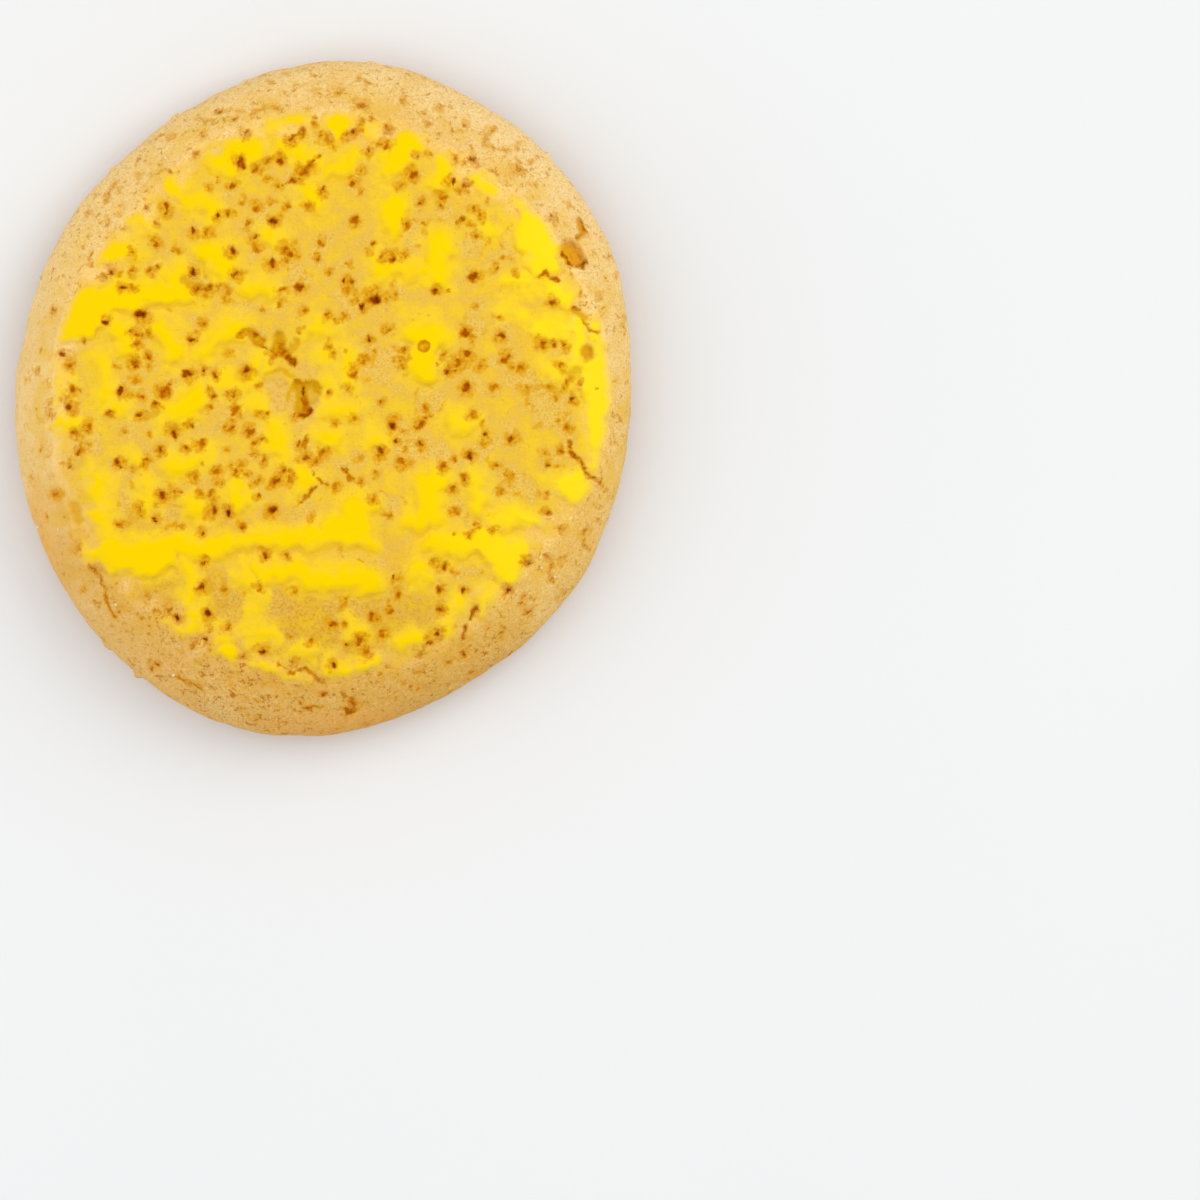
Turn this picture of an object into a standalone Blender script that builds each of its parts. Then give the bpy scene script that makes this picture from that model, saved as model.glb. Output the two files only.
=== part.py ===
"""An iced sugar cookie: a domed, pitted biscuit with a lacy sheet of yellow icing on its top.

Run it with: blender --background --python part.py
Lengths are in metres and built up from millimetres. The origin is the middle of the flat base, and +Z is up.
The biscuit lies as it was baked, +Y is the top of the picture that it was modelled from.
"""

import itertools
import math

import bmesh
import bpy
import numpy as np

MM = 0.001

# The biscuit from above: a round whose radius swells and shrinks in a few waves
MEAN_RADIUS = 34.0
OUTLINE_WAVES = (  # waves round the edge, share of the mean radius, direction of a crest in degrees
    (1, 0.012, 108.0),
    (2, 0.047, 68.6),
    (3, 0.006, -1.5),
    (4, 0.012, -18.0),
    (5, 0.006, 34.0),
    (6, 0.007, 25.0),
)

# The biscuit in section: a flat base, a bulging side and a wide, almost flat dome
DOME_HEIGHT = 13.6
WIDEST_LEVEL = 4.6
FOOT_SHARE = 0.935
DOME_POWER = 4.2
SHOULDER_POWER = 2.1
SECTION_POINTS = 60
TOP_CROWDING = 2.4
BASE_CROWDING = 0.25

# Swells of the baked surface: size across, height, seed
TOP_SWELLS = ((9.0, 0.34, 11), (3.6, 0.16, 12))
SIDE_SWELLS = ((9.0, 0.30, 13), (3.0, 0.14, 14))

# The docking hole near the middle, where the dough was pricked, and the torn trough that leads to it
DOCK_AT = (-2.0, 0.0)
DOCK_RADIUS = 1.7
DOCK_DEPTH = 2.6

# Tears of the crust: a run of points, half width, depth
TEARS = (
    (((-8.4, 7.0), (-5.8, 5.6), (-4.2, 5.2), (-3.3, 4.0)), 0.75, 0.9),
    (((-4.3, 22.6), (-2.0, 23.8), (-0.2, 25.6)), 0.45, 0.7),
    (((-15.0, 2.3), (-14.0, 2.7), (-12.4, 2.9)), 0.45, 0.9),
    (((-2.9, -11.5), (-1.4, -10.4), (-0.2, -9.2)), 0.40, 0.7),
    (((-4.6, -28.2), (-3.0, -29.2), (-1.7, -28.7), (0.1, -30.2)), 0.45, 0.8),
    (((16.0, -22.4), (15.2, -23.8), (14.8, -25.4)), 0.45, 0.8),
    (((26.1, -4.8), (27.4, -6.9), (29.0, -8.7)), 0.40, 0.8),
    (((25.8, 15.9), (26.4, 15.2), (27.1, 14.2)), 0.85, 1.2),
    (((27.2, 19.3), (27.5, 17.6)), 0.55, 0.9),
    (((-23.9, -18.2), (-23.2, -20.2), (-22.9, -20.9)), 0.40, 0.6),
)

# Open bubbles in the crust that show best: x, y, half width along and across, slant in degrees, depth
MAIN_PITS = (
    (5.6, 10.3, 0.95, 0.50, 5, 1.7),
    (4.2, 9.6, 0.45, 0.35, 40, 1.2),
    (-19.2, 8.9, 0.95, 0.48, 8, 1.5),
    (-23.0, 8.1, 0.42, 0.38, 0, 1.2),
    (4.9, 6.1, 0.45, 0.40, 60, 1.2),
    (12.0, 11.2, 0.45, 0.38, 0, 1.1),
    (15.9, 12.8, 0.55, 0.75, 0, 1.0),
    (-5.3, 18.5, 0.65, 0.38, -8, 1.1),
    (-2.0, 23.7, 0.45, 0.40, 0, 1.2),
    (-10.0, 19.6, 0.35, 0.60, 0, 1.0),
    (-13.9, 17.7, 0.60, 0.50, 20, 1.0),
    (23.3, 12.9, 0.50, 0.40, 0, 1.2),
    (27.0, 9.3, 0.80, 0.38, -20, 1.2),
    (28.0, 4.6, 0.70, 0.75, 0, 0.9),
    (12.6, 2.6, 0.50, 0.60, 0, 1.0),
    (-8.0, 2.9, 0.80, 0.80, 0, 0.8),
    (-21.3, 0.5, 0.45, 0.75, 10, 1.1),
    (-27.5, 4.8, 0.45, 0.60, 0, 0.9),
    (-26.8, -0.8, 0.60, 0.45, 0, 0.9),
    (-28.2, -10.4, 0.55, 0.50, 0, 1.0),
    (-26.0, -12.3, 0.50, 0.85, 0, 0.9),
    (-11.2, -7.7, 0.50, 0.42, 0, 1.1),
    (-9.9, -12.1, 0.50, 0.62, 20, 1.3),
    (-5.4, -11.9, 0.75, 0.58, 15, 1.2),
    (-17.6, -13.0, 0.45, 0.45, 0, 1.1),
    (-12.1, -22.8, 0.70, 0.42, -10, 1.4),
    (-15.5, -23.5, 0.55, 0.35, -35, 1.1),
    (-13.7, -26.3, 0.55, 0.50, 0, 0.9),
    (-6.2, -27.0, 0.55, 0.38, -15, 1.2),
    (7.5, -2.9, 0.70, 0.55, 15, 1.2),
    (7.8, -4.6, 0.42, 0.50, 0, 1.0),
    (15.6, -6.1, 0.42, 0.50, 0, 1.2),
    (17.2, -3.9, 0.42, 0.45, 0, 1.0),
    (23.8, -7.2, 0.40, 0.36, 0, 1.2),
    (13.0, -18.5, 0.80, 0.60, 30, 0.9),
    (19.6, -20.3, 0.65, 0.60, 0, 0.9),
    (11.8, -25.6, 0.55, 0.85, -40, 0.9),
    (3.0, -32.6, 0.80, 0.70, 0, 0.8),
)

# Small open bubbles between them
SMALL_PITS = 130
PIT_TRIES = 6000
PIT_SPACING = 2.3
PIT_SEED = 5
PIT_LIMITS = (0.30, 0.62)
PIT_STRETCH = (0.8, 1.7)
PIT_DEEPNESS = 1.6
PIT_CUT = 1.6

# Thick runs of icing: from x, y to x, y, half width
ICING_RUNS = (
    (-27.0, 8.3, -23.5, 10.3, 2.3),
    (-24.0, 10.5, -20.0, 10.8, 1.6),
    (-20.0, 10.9, -14.5, 11.2, 1.3),
    (-15.6, 13.4, -15.0, 11.4, 1.3),
    (-21.2, 7.0, -20.8, 5.2, 1.2),
    (-23.0, 15.6, -20.6, 15.9, 1.2),
    (-19.6, 19.0, -18.4, 17.8, 1.2),
    (-16.2, 22.4, -12.4, 20.2, 1.1),
    (-12.4, 20.2, -9.0, 21.2, 1.0),
    (-13.6, 16.0, -10.2, 14.0, 1.3),
    (-11.2, 25.4, -7.0, 26.6, 1.3),
    (-4.8, 29.3, -2.4, 29.5, 1.1),
    (-3.2, 26.6, -1.2, 25.2, 1.0),
    (-2.2, 22.2, -0.8, 21.4, 1.2),
    (-6.4, 12.0, -3.4, 10.8, 1.2),
    (-16.8, 7.0, -15.4, 4.8, 1.5),
    (-9.2, 7.2, -12.8, 4.8, 1.1),
    (1.2, 28.9, 2.0, 28.5, 1.5),
    (4.4, 28.6, 5.6, 28.4, 1.0),
    (9.4, 27.3, 7.4, 25.0, 1.4),
    (13.0, 25.2, 12.6, 23.4, 1.2),
    (16.6, 23.4, 19.4, 21.6, 1.2),
    (19.4, 21.6, 21.6, 19.2, 1.1),
    (21.6, 18.8, 23.4, 15.6, 1.9),
    (7.0, 20.0, 7.8, 18.0, 1.3),
    (12.6, 16.8, 12.2, 13.6, 1.3),
    (12.0, 13.6, 9.6, 12.8, 1.2),
    (20.4, 14.0, 22.2, 12.8, 1.0),
    (0.0, 11.7, -1.6, 12.2, 1.0),
    (22.2, 9.4, 25.8, 10.6, 0.9),
    (10.2, 6.8, 12.4, 6.2, 1.6),
    (11.2, 5.0, 10.4, 2.8, 1.4),
    (26.2, 8.0, 27.0, 5.6, 0.9),
    (-0.8, 7.1, 0.6, 7.0, 1.0),
    (29.0, 2.6, 29.0, -2.6, 1.2),
    (29.0, -2.6, 28.2, -6.2, 1.0),
    (25.4, -10.4, 27.6, -9.6, 1.9),
    (-26.0, -16.4, -20.0, -16.2, 1.5),
    (-22.0, -16.8, -18.0, -17.2, 1.7),
    (-18.0, -15.9, -10.8, -15.4, 1.4),
    (-10.8, -15.2, -2.0, -14.4, 1.1),
    (-15.4, -18.2, -13.8, -23.8, 0.9),
    (-23.6, -9.0, -23.2, -12.8, 1.1),
    (-27.0, -2.9, -25.4, -2.8, 0.9),
    (-22.2, -1.0, -20.0, -1.3, 1.0),
    (-12.9, 0.4, -15.4, -1.8, 1.4),
    (-15.2, -7.0, -10.2, -5.8, 1.1),
    (-9.4, -9.0, -8.6, -10.8, 1.3),
    (-13.5, -11.0, -12.8, -12.4, 1.1),
    (-4.8, -4.2, -4.0, -5.6, 1.1),
    (-2.6, -8.4, -1.6, -8.8, 1.0),
    (-2.0, -14.4, 4.2, -14.0, 1.5),
    (3.6, -11.8, 3.4, -13.4, 1.2),
    (-7.6, -18.4, -2.0, -18.0, 0.9),
    (-2.0, -18.2, 6.2, -19.2, 1.2),
    (10.4, -11.2, 12.0, -9.6, 1.5),
    (9.4, -12.6, 12.4, -12.4, 1.2),
    (16.4, -9.0, 16.9, -11.8, 0.9),
    (13.2, -16.2, 20.2, -15.8, 1.6),
    (16.8, -17.4, 20.2, -17.4, 1.5),
    (9.8, -18.6, 12.0, -17.0, 1.0),
    (19.0, -13.2, 24.2, -12.7, 0.9),
    (8.2, -27.0, 9.8, -26.4, 1.2),
    (1.2, -28.7, 4.8, -28.3, 0.9),
    (-10.9, -27.0, -10.2, -26.2, 1.3),
    (-6.6, -28.2, -1.6, -29.9, 0.8),
)

# The iced round on the top, and how thick the icing lies on it
ICED_RADIUS = 29.3
ICED_WAVES = (4.5, 0.9, 21)  # size across, reach, seed
RUN_WAVES = (3.2, 0.7, 22)
FILM = 0.4
RUN_THICKNESS = 1.1
THINNEST = 0.2
ICING_GAP = 0.3
SEAT_DEPTH = 0.35
THIN_SPOTS = (3.4, 31)  # size across, seed
THIN_SPOT_LEVEL = 0.42
SHEET_GRID = 0.5
EDGE_SMOOTHING = 8

BISCUIT_TRIANGLES = 5800
ICING_TOP_TRIANGLES = 2300

BISCUIT_COLOUR = (0.76, 0.47, 0.15)
ICING_COLOUR = (0.93, 0.62, 0.01)


def noise(points, size, seed):
    """Smooth random swells about one size across, from about -1 to 1, at each of the points."""
    random = np.random.default_rng(seed)
    slopes = random.normal(size=(256, 3))
    slopes /= np.linalg.norm(slopes, axis=1, keepdims=True)
    order = random.permutation(256)
    cell = np.floor(points / size).astype(int)
    inside = points / size - cell
    ease = inside**3 * (inside * (inside * 6 - 15) + 10)
    total = np.zeros(len(points))
    for corner in itertools.product((0, 1), repeat=3):
        i, j, k = (cell + corner).T % 256
        slope = slopes[order[(i + order[(j + order[k]) % 256]) % 256]]
        weight = np.where(corner, ease, 1 - ease).prod(axis=1)
        total += weight * (slope * (inside - corner)).sum(axis=1)
    return 1.6 * total


def swells(points, kinds):
    return sum(height * noise(points, size, seed) for size, height, seed in kinds)


def flat_noise(x, y, size, seed):
    return noise(np.column_stack([x, y, np.zeros_like(x)]), size, seed)


def step_up(value, low, high):
    """0 below low, 1 above high, and an even curve between them."""
    share = np.clip((value - low) / (high - low), 0, 1)
    return share * share * (3 - 2 * share)


def outline(turn):
    """The biscuit's radius in the direction turn, an angle in radians."""
    waves = sum(
        share * np.cos(count * (turn - math.radians(crest)))
        for count, share, crest in OUTLINE_WAVES
    )
    return MEAN_RADIUS * (1 + waves)


def edge_share(x, y):
    """0 at the middle of the biscuit and 1 at its outline."""
    return np.hypot(x, y) / outline(np.arctan2(y, x))


def dome(share):
    """Height of the smooth dome at a share of the way out to the outline."""
    rise = (1 - np.clip(share, 0, 1) ** DOME_POWER) ** (1 / SHOULDER_POWER)
    return WIDEST_LEVEL + (DOME_HEIGHT - WIDEST_LEVEL) * rise


def segment_distance(x, y, start, end):
    """Distance of each point from the line between start and end."""
    along = np.subtract(end, start)
    share = ((x - start[0]) * along[0] + (y - start[1]) * along[1]) / (along @ along)
    share = np.clip(share, 0, 1)
    return np.hypot(x - start[0] - share * along[0], y - start[1] - share * along[1])


def iced_edge(x, y):
    """How far inside the ragged edge of the icing each point lies."""
    size, reach, seed = ICED_WAVES
    return ICED_RADIUS + reach * flat_noise(x, y, size, seed) - np.hypot(x, y)


def crust(x, y):
    """Height of the baked top without its pits, a little lower where the icing has sunk in."""
    share = edge_share(x, y)
    points = np.column_stack([x, y, np.zeros_like(x)])
    swell = swells(points, TOP_SWELLS) * (1 - step_up(share, 0.8, 1.0))
    return dome(share) + swell - SEAT_DEPTH * step_up(iced_edge(x, y), -0.6, 0.8)


def run_thickness(x, y):
    """Thickness of the thick runs of icing, which are round across and wavy along."""
    size, reach, seed = RUN_WAVES
    x, y = x + reach * flat_noise(x, y, size, seed), y + reach * flat_noise(y, x, size, seed)
    thick = np.zeros_like(x)
    for x1, y1, x2, y2, half_width in ICING_RUNS:
        off = segment_distance(x, y, (x1, y1), (x2, y2)) / half_width
        thick = np.maximum(thick, np.sqrt(np.clip(1 - off**2, 0, None)))
    return RUN_THICKNESS * thick


def small_pits():
    """Seeded small pits, kept apart from each other and clear of the thick runs."""
    random = np.random.default_rng(PIT_SEED)
    tries = random.uniform(-ICED_RADIUS, ICED_RADIUS, (PIT_TRIES, 2))
    x, y = tries.T
    open_ground = (iced_edge(x, y) > 0) & (run_thickness(x, y) < 0.4)
    placed = [pit[:2] for pit in MAIN_PITS] + [DOCK_AT]
    pits = []
    for place in tries[open_ground]:
        apart = np.hypot(*(np.array(placed) - place).T).min()
        if apart < PIT_SPACING:
            continue
        placed.append(tuple(place))
        radius = random.uniform(*PIT_LIMITS)
        stretch = random.uniform(*PIT_STRETCH)
        slant = random.uniform(0, 180)
        pits.append((*place, radius * stretch, radius, slant, PIT_DEEPNESS * radius))
        if len(pits) == SMALL_PITS:
            break
    return pits


def pit_reach(x, y, pit):
    """Distance of each point from a pit's middle, as a share of the pit's half width."""
    at_x, at_y, along, across, slant, _ = pit
    turn = math.radians(slant)
    dx, dy = x - at_x, y - at_y
    u = dx * math.cos(turn) + dy * math.sin(turn)
    v = dy * math.cos(turn) - dx * math.sin(turn)
    return np.hypot(u / along, v / across)


def pit_depth(x, y, pits):
    """Depth of all the pits, the docking hole and the tears below the crust."""
    depth = np.zeros_like(x)
    for pit in pits:
        depth = np.maximum(depth, pit[5] * (1 - step_up(pit_reach(x, y, pit), 0.15, 1.5)))
    dock = np.hypot(x - DOCK_AT[0], y - DOCK_AT[1]) / DOCK_RADIUS
    depth = np.maximum(depth, DOCK_DEPTH * (1 - step_up(dock, 0.2, 1.5)))
    for run, half_width, deep in TEARS:
        for start, end in itertools.pairwise(run):
            off = segment_distance(x, y, start, end) / half_width
            depth = np.maximum(depth, deep * (1 - step_up(off, 0.1, 1.6)))
    return depth


def icing_thickness(x, y, pits):
    """Thickness of the icing, which is below zero where the crust is bare."""
    size, seed = THIN_SPOTS
    thin = step_up(flat_noise(x, y, size, seed), THIN_SPOT_LEVEL, THIN_SPOT_LEVEL + 0.2)
    runs = run_thickness(x, y)
    film = FILM * step_up(iced_edge(x, y), -0.3, 1.2) * (1 - 1.4 * thin)
    thick = np.maximum(film, runs)
    for pit in pits:
        open_share = 1 - step_up(pit_reach(x, y, pit), 0.8, PIT_CUT)
        thick = np.minimum(thick, RUN_THICKNESS * (1 - 1.5 * open_share))
    cut = pit_depth(x, y, ()) > 0.3
    return np.where(cut | (thick < 0.12), -1, thick)


def read_points(mesh):
    flat = np.empty(len(mesh.vertices) * 3, np.float32)
    mesh.vertices.foreach_get("co", flat)
    return flat.reshape(-1, 3).astype(float)


def write_points(mesh, points):
    mesh.vertices.foreach_set("co", (points * MM).astype(np.float32).ravel())
    mesh.update()


def section():
    """The biscuit's section from the top's middle round to the base's middle, as shares of the radius and heights."""
    quarter = np.linspace(0, math.pi / 2, SECTION_POINTS)
    upper_share = np.sin(quarter) ** (2 / DOME_POWER)
    lower_share = FOOT_SHARE + (1 - FOOT_SHARE) * np.cos(quarter[1:])
    base_share = FOOT_SHARE * np.linspace(1, 0, SECTION_POINTS)[1:]
    shares = np.concatenate([upper_share, lower_share, base_share])
    lower_height = WIDEST_LEVEL * (1 - np.sin(quarter[1:]))
    heights = np.concatenate([dome(upper_share), lower_height, np.zeros(len(base_share))])
    crowding = np.concatenate([
        np.full(len(upper_share), TOP_CROWDING),
        np.ones(len(lower_share)),
        np.full(len(base_share), BASE_CROWDING),
    ])
    return shares, heights, crowding


def add_object(name, mesh, colour, roughness, collection):
    made = bpy.data.objects.new(name, mesh)
    collection.objects.link(made)
    material = bpy.data.materials.new(name)
    material.use_nodes = True
    shader = material.node_tree.nodes["Principled BSDF"]
    shader.inputs["Base Color"].default_value = (*colour, 1)
    shader.inputs["Roughness"].default_value = roughness
    material.diffuse_color = (*colour, 1)
    mesh.materials.append(material)
    mesh.shade_smooth()
    return made


def thin_out(made, triangles):
    """Leaves about that many triangles, most of them where the surface bends."""
    count = sum(len(face.vertices) - 2 for face in made.data.polygons)
    decimate = made.modifiers.new("Thin out", "DECIMATE")
    decimate.ratio = triangles / count


def add_biscuit(pits, collection):
    """A ball with even faces, laid over the section, swollen and pitted."""
    ball = bmesh.new()
    bmesh.ops.create_icosphere(ball, subdivisions=7, radius=1)
    mesh = bpy.data.meshes.new("biscuit")
    ball.to_mesh(mesh)
    ball.free()
    sphere = read_points(mesh)

    shares, heights, crowding = section()
    run = np.hypot(np.diff(shares) * MEAN_RADIUS, np.diff(heights))
    middle = (shares[1:] + shares[:-1]) / 2
    covered = np.concatenate([[0], np.cumsum(run * middle * crowding[1:])])
    turn = np.arctan2(sphere[:, 1], sphere[:, 0])
    level = (1 - sphere[:, 2]) / 2 * covered[-1]
    share = np.interp(level, covered, shares)
    height = np.interp(level, covered, heights)
    x = share * outline(turn) * np.cos(turn)
    y = share * outline(turn) * np.sin(turn)

    on_top = level < covered[SECTION_POINTS - 1]
    height = np.where(on_top, crust(x, y) - pit_depth(x, y, pits), height)
    points = np.column_stack([x, y, height])
    bulge = swells(points, SIDE_SWELLS) * step_up(share, 0.85, 1.0) * step_up(height, 0.0, 2.0)
    points[:, 0] += bulge * np.cos(turn)
    points[:, 1] += bulge * np.sin(turn)
    write_points(mesh, points)
    made = add_object("biscuit", mesh, BISCUIT_COLOUR, 0.85, collection)
    thin_out(made, BISCUIT_TRIANGLES)
    return made


def remove_corner_touches(sheet):
    """Takes away the faces at points where the sheet would touch itself at a corner only."""
    while True:
        touching = [
            point
            for point in sheet.verts
            if sum(edge.is_boundary for edge in point.link_edges) > 2
        ]
        if not touching:
            return
        faces = list({face for point in touching for face in point.link_faces})
        bmesh.ops.delete(sheet, geom=faces, context="FACES")


def keep_largest_piece(sheet):
    """Leaves only the piece of the sheet that has the most faces."""
    left = set(sheet.faces)
    pieces = []
    while left:
        piece = set()
        edge_of_search = [left.pop()]
        while edge_of_search:
            face = edge_of_search.pop()
            piece.add(face)
            near = {other for edge in face.edges for other in edge.link_faces} & left
            left -= near
            edge_of_search.extend(near)
        pieces.append(piece)
    largest = max(pieces, key=len)
    scraps = [face for face in sheet.faces if face not in largest]
    bmesh.ops.delete(sheet, geom=scraps, context="FACES")


def icing_sheet(pits):
    """The icing's lace as a flat grid, cut where the crust is bare and smoothed along its edges."""
    half = ICED_RADIUS + 2
    cells = round(2 * half / SHEET_GRID)
    sheet = bmesh.new()
    bmesh.ops.create_grid(sheet, x_segments=cells, y_segments=cells, size=half)
    x, y, _ = np.array([point.co for point in sheet.verts]).T
    bare = icing_thickness(x, y, pits) < 0
    off_icing = [point for point, is_bare in zip(sheet.verts, bare) if is_bare]
    bmesh.ops.delete(sheet, geom=off_icing, context="VERTS")
    remove_corner_touches(sheet)
    keep_largest_piece(sheet)
    for _ in range(EDGE_SMOOTHING):
        edge_points = [point for point in sheet.verts if point.is_boundary]
        bmesh.ops.smooth_vert(sheet, verts=edge_points, factor=0.5, use_axis_x=True, use_axis_y=True)
    mesh = bpy.data.meshes.new("icing")
    sheet.to_mesh(mesh)
    sheet.free()
    return mesh


def thinned(mesh, triangles):
    """A copy of the mesh with about that many triangles."""
    holder = bpy.data.objects.new("holder", mesh)
    bpy.context.scene.collection.objects.link(holder)
    thin_out(holder, triangles)
    graph = bpy.context.evaluated_depsgraph_get()
    copy = bpy.data.meshes.new_from_object(holder.evaluated_get(graph))
    bpy.data.objects.remove(holder)
    return copy


def add_icing(pits, collection):
    """The lace at the level of its top, thinned, then closed with an underside a little above the crust."""
    mesh = icing_sheet(pits)
    x, y, _ = read_points(mesh).T
    thick = np.clip(icing_thickness(x, y, pits), THINNEST, None)
    write_points(mesh, np.column_stack([x, y, crust(x, y) + ICING_GAP + thick]))
    mesh = thinned(mesh, ICING_TOP_TRIANGLES)

    solid = bmesh.new()
    solid.from_mesh(mesh)
    remove_corner_touches(solid)
    keep_largest_piece(solid)
    extruded = bmesh.ops.extrude_face_region(solid, geom=list(solid.faces), use_keep_orig=True)
    under = [item for item in extruded["geom"] if isinstance(item, bmesh.types.BMVert)]
    x, y, top = np.array([point.co for point in under]).T / MM
    underside = np.minimum(crust(x, y) + ICING_GAP, top - THINNEST)
    for point, level in zip(under, underside):
        point.co.z = level * MM
    bmesh.ops.recalc_face_normals(solid, faces=list(solid.faces))
    solid.to_mesh(mesh)
    solid.free()
    return add_object("icing", mesh, ICING_COLOUR, 0.45, collection)


def main():
    for old in list(bpy.data.objects):
        bpy.data.objects.remove(old)
    collection = bpy.data.collections.new("iced_sugar_cookie")
    bpy.context.scene.collection.children.link(collection)
    pits = list(MAIN_PITS) + small_pits()
    add_biscuit(pits, collection)
    add_icing(pits, collection)


main()
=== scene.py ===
"""Looks of the iced sugar cookie: crumb, glaze and sugar grains, with floor, lights and camera.

Lengths are in millimetres until a mesh is written, in the model's own frame: the origin is the middle
of the flat base, +Z is up and +Y is the top of the photograph.
"""

import itertools
import math

import bmesh
import bpy
import numpy as np
from mathutils import Euler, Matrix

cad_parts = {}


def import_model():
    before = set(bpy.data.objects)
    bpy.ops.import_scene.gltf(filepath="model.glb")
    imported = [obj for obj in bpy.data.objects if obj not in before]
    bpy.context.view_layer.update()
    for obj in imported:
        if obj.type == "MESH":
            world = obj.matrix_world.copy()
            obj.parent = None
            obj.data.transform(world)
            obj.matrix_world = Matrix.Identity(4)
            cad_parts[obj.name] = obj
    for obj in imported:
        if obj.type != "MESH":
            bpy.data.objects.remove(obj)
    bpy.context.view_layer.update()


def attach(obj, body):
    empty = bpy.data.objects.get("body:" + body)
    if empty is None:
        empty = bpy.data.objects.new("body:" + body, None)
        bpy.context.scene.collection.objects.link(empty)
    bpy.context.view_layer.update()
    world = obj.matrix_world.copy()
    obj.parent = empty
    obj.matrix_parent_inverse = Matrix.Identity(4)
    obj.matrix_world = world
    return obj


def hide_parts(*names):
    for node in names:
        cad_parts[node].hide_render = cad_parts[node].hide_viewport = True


MM = 0.001

# The biscuit from above and in section, as in the solid model but for a bulge at the lower right
MEAN_RADIUS = 34.0
OUTLINE_WAVES = (  # waves round the edge, share of the mean radius, direction of a crest in degrees
    (1, 0.012, 108.0), (2, 0.047, 68.6), (3, 0.006, -1.5),
    (4, 0.012, -18.0), (5, 0.006, 34.0), (6, 0.007, 25.0),
)
LOWER_RIGHT_BULGE = (-63.0, 50.0, 0.041)  # direction and half width in degrees, share of the mean radius
DOME_HEIGHT = 13.6
WIDEST_LEVEL = 4.6
FOOT_SHARE = 0.935
DOME_POWER = 4.2
SHOULDER_POWER = 2.1
SECTION_POINTS = 60

# Swells of the baked surface: size across, height, seed
TOP_SWELLS = ((9.0, 0.34, 11), (3.6, 0.16, 12))
SIDE_SWELLS = ((9.0, 0.30, 13), (3.0, 0.14, 14))
CRUMB_GRAIN = ((1.3, 0.055, 15), (0.6, 0.030, 16))

# Where the side takes over from the top, as shares of the way out, and the height over which it starts
SIDE_SHARES = (0.85, 1.0)
FOOT_RISE = 2.0

# How much of the crumb's mesh goes to its hidden top, its bare rim and side, and its base
HIDDEN_SHARE = 0.80
HIDDEN_CROWDING = 1.0
BARE_CROWDING = 3.4
BASE_CROWDING = 0.45
CRUMB_CELLS = 128

# The iced round, and how high the icing stands on the crust
ICED_EDGE = (  # direction in degrees, radius
    (0, 31.1), (14, 31.0), (31, 30.6), (57, 30.1), (87, 31.0), (112, 30.5), (127, 29.2), (142, 28.6),
    (155, 29.2), (185, 29.5), (205, 30.2), (213, 31.3), (222, 30.2), (236, 29.8), (265, 30.8),
    (300, 29.9), (320, 28.8), (342, 30.6),
)
ICED_WAVES = ((2.2, 0.5, 23), (1.1, 0.25, 24))
GLAZE_CELLS = 290
GLAZE_KEPT = 0.56
FILM = 0.10
RUN_HEIGHT = 0.62
EDGE_DIP = 0.07
SKIN = 0.12

# The crumb under the glaze: how deep, how much wider its pits, and from how far inside the iced edge;
# and how far outside that edge the icing stains the crumb
SEAT_DEPTH = 0.25
SEAT_MARGIN = 0.4
UNDER_GLAZE = (0.4, 1.2)
STAIN_REACH = (-4.5, 0.0)

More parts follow.
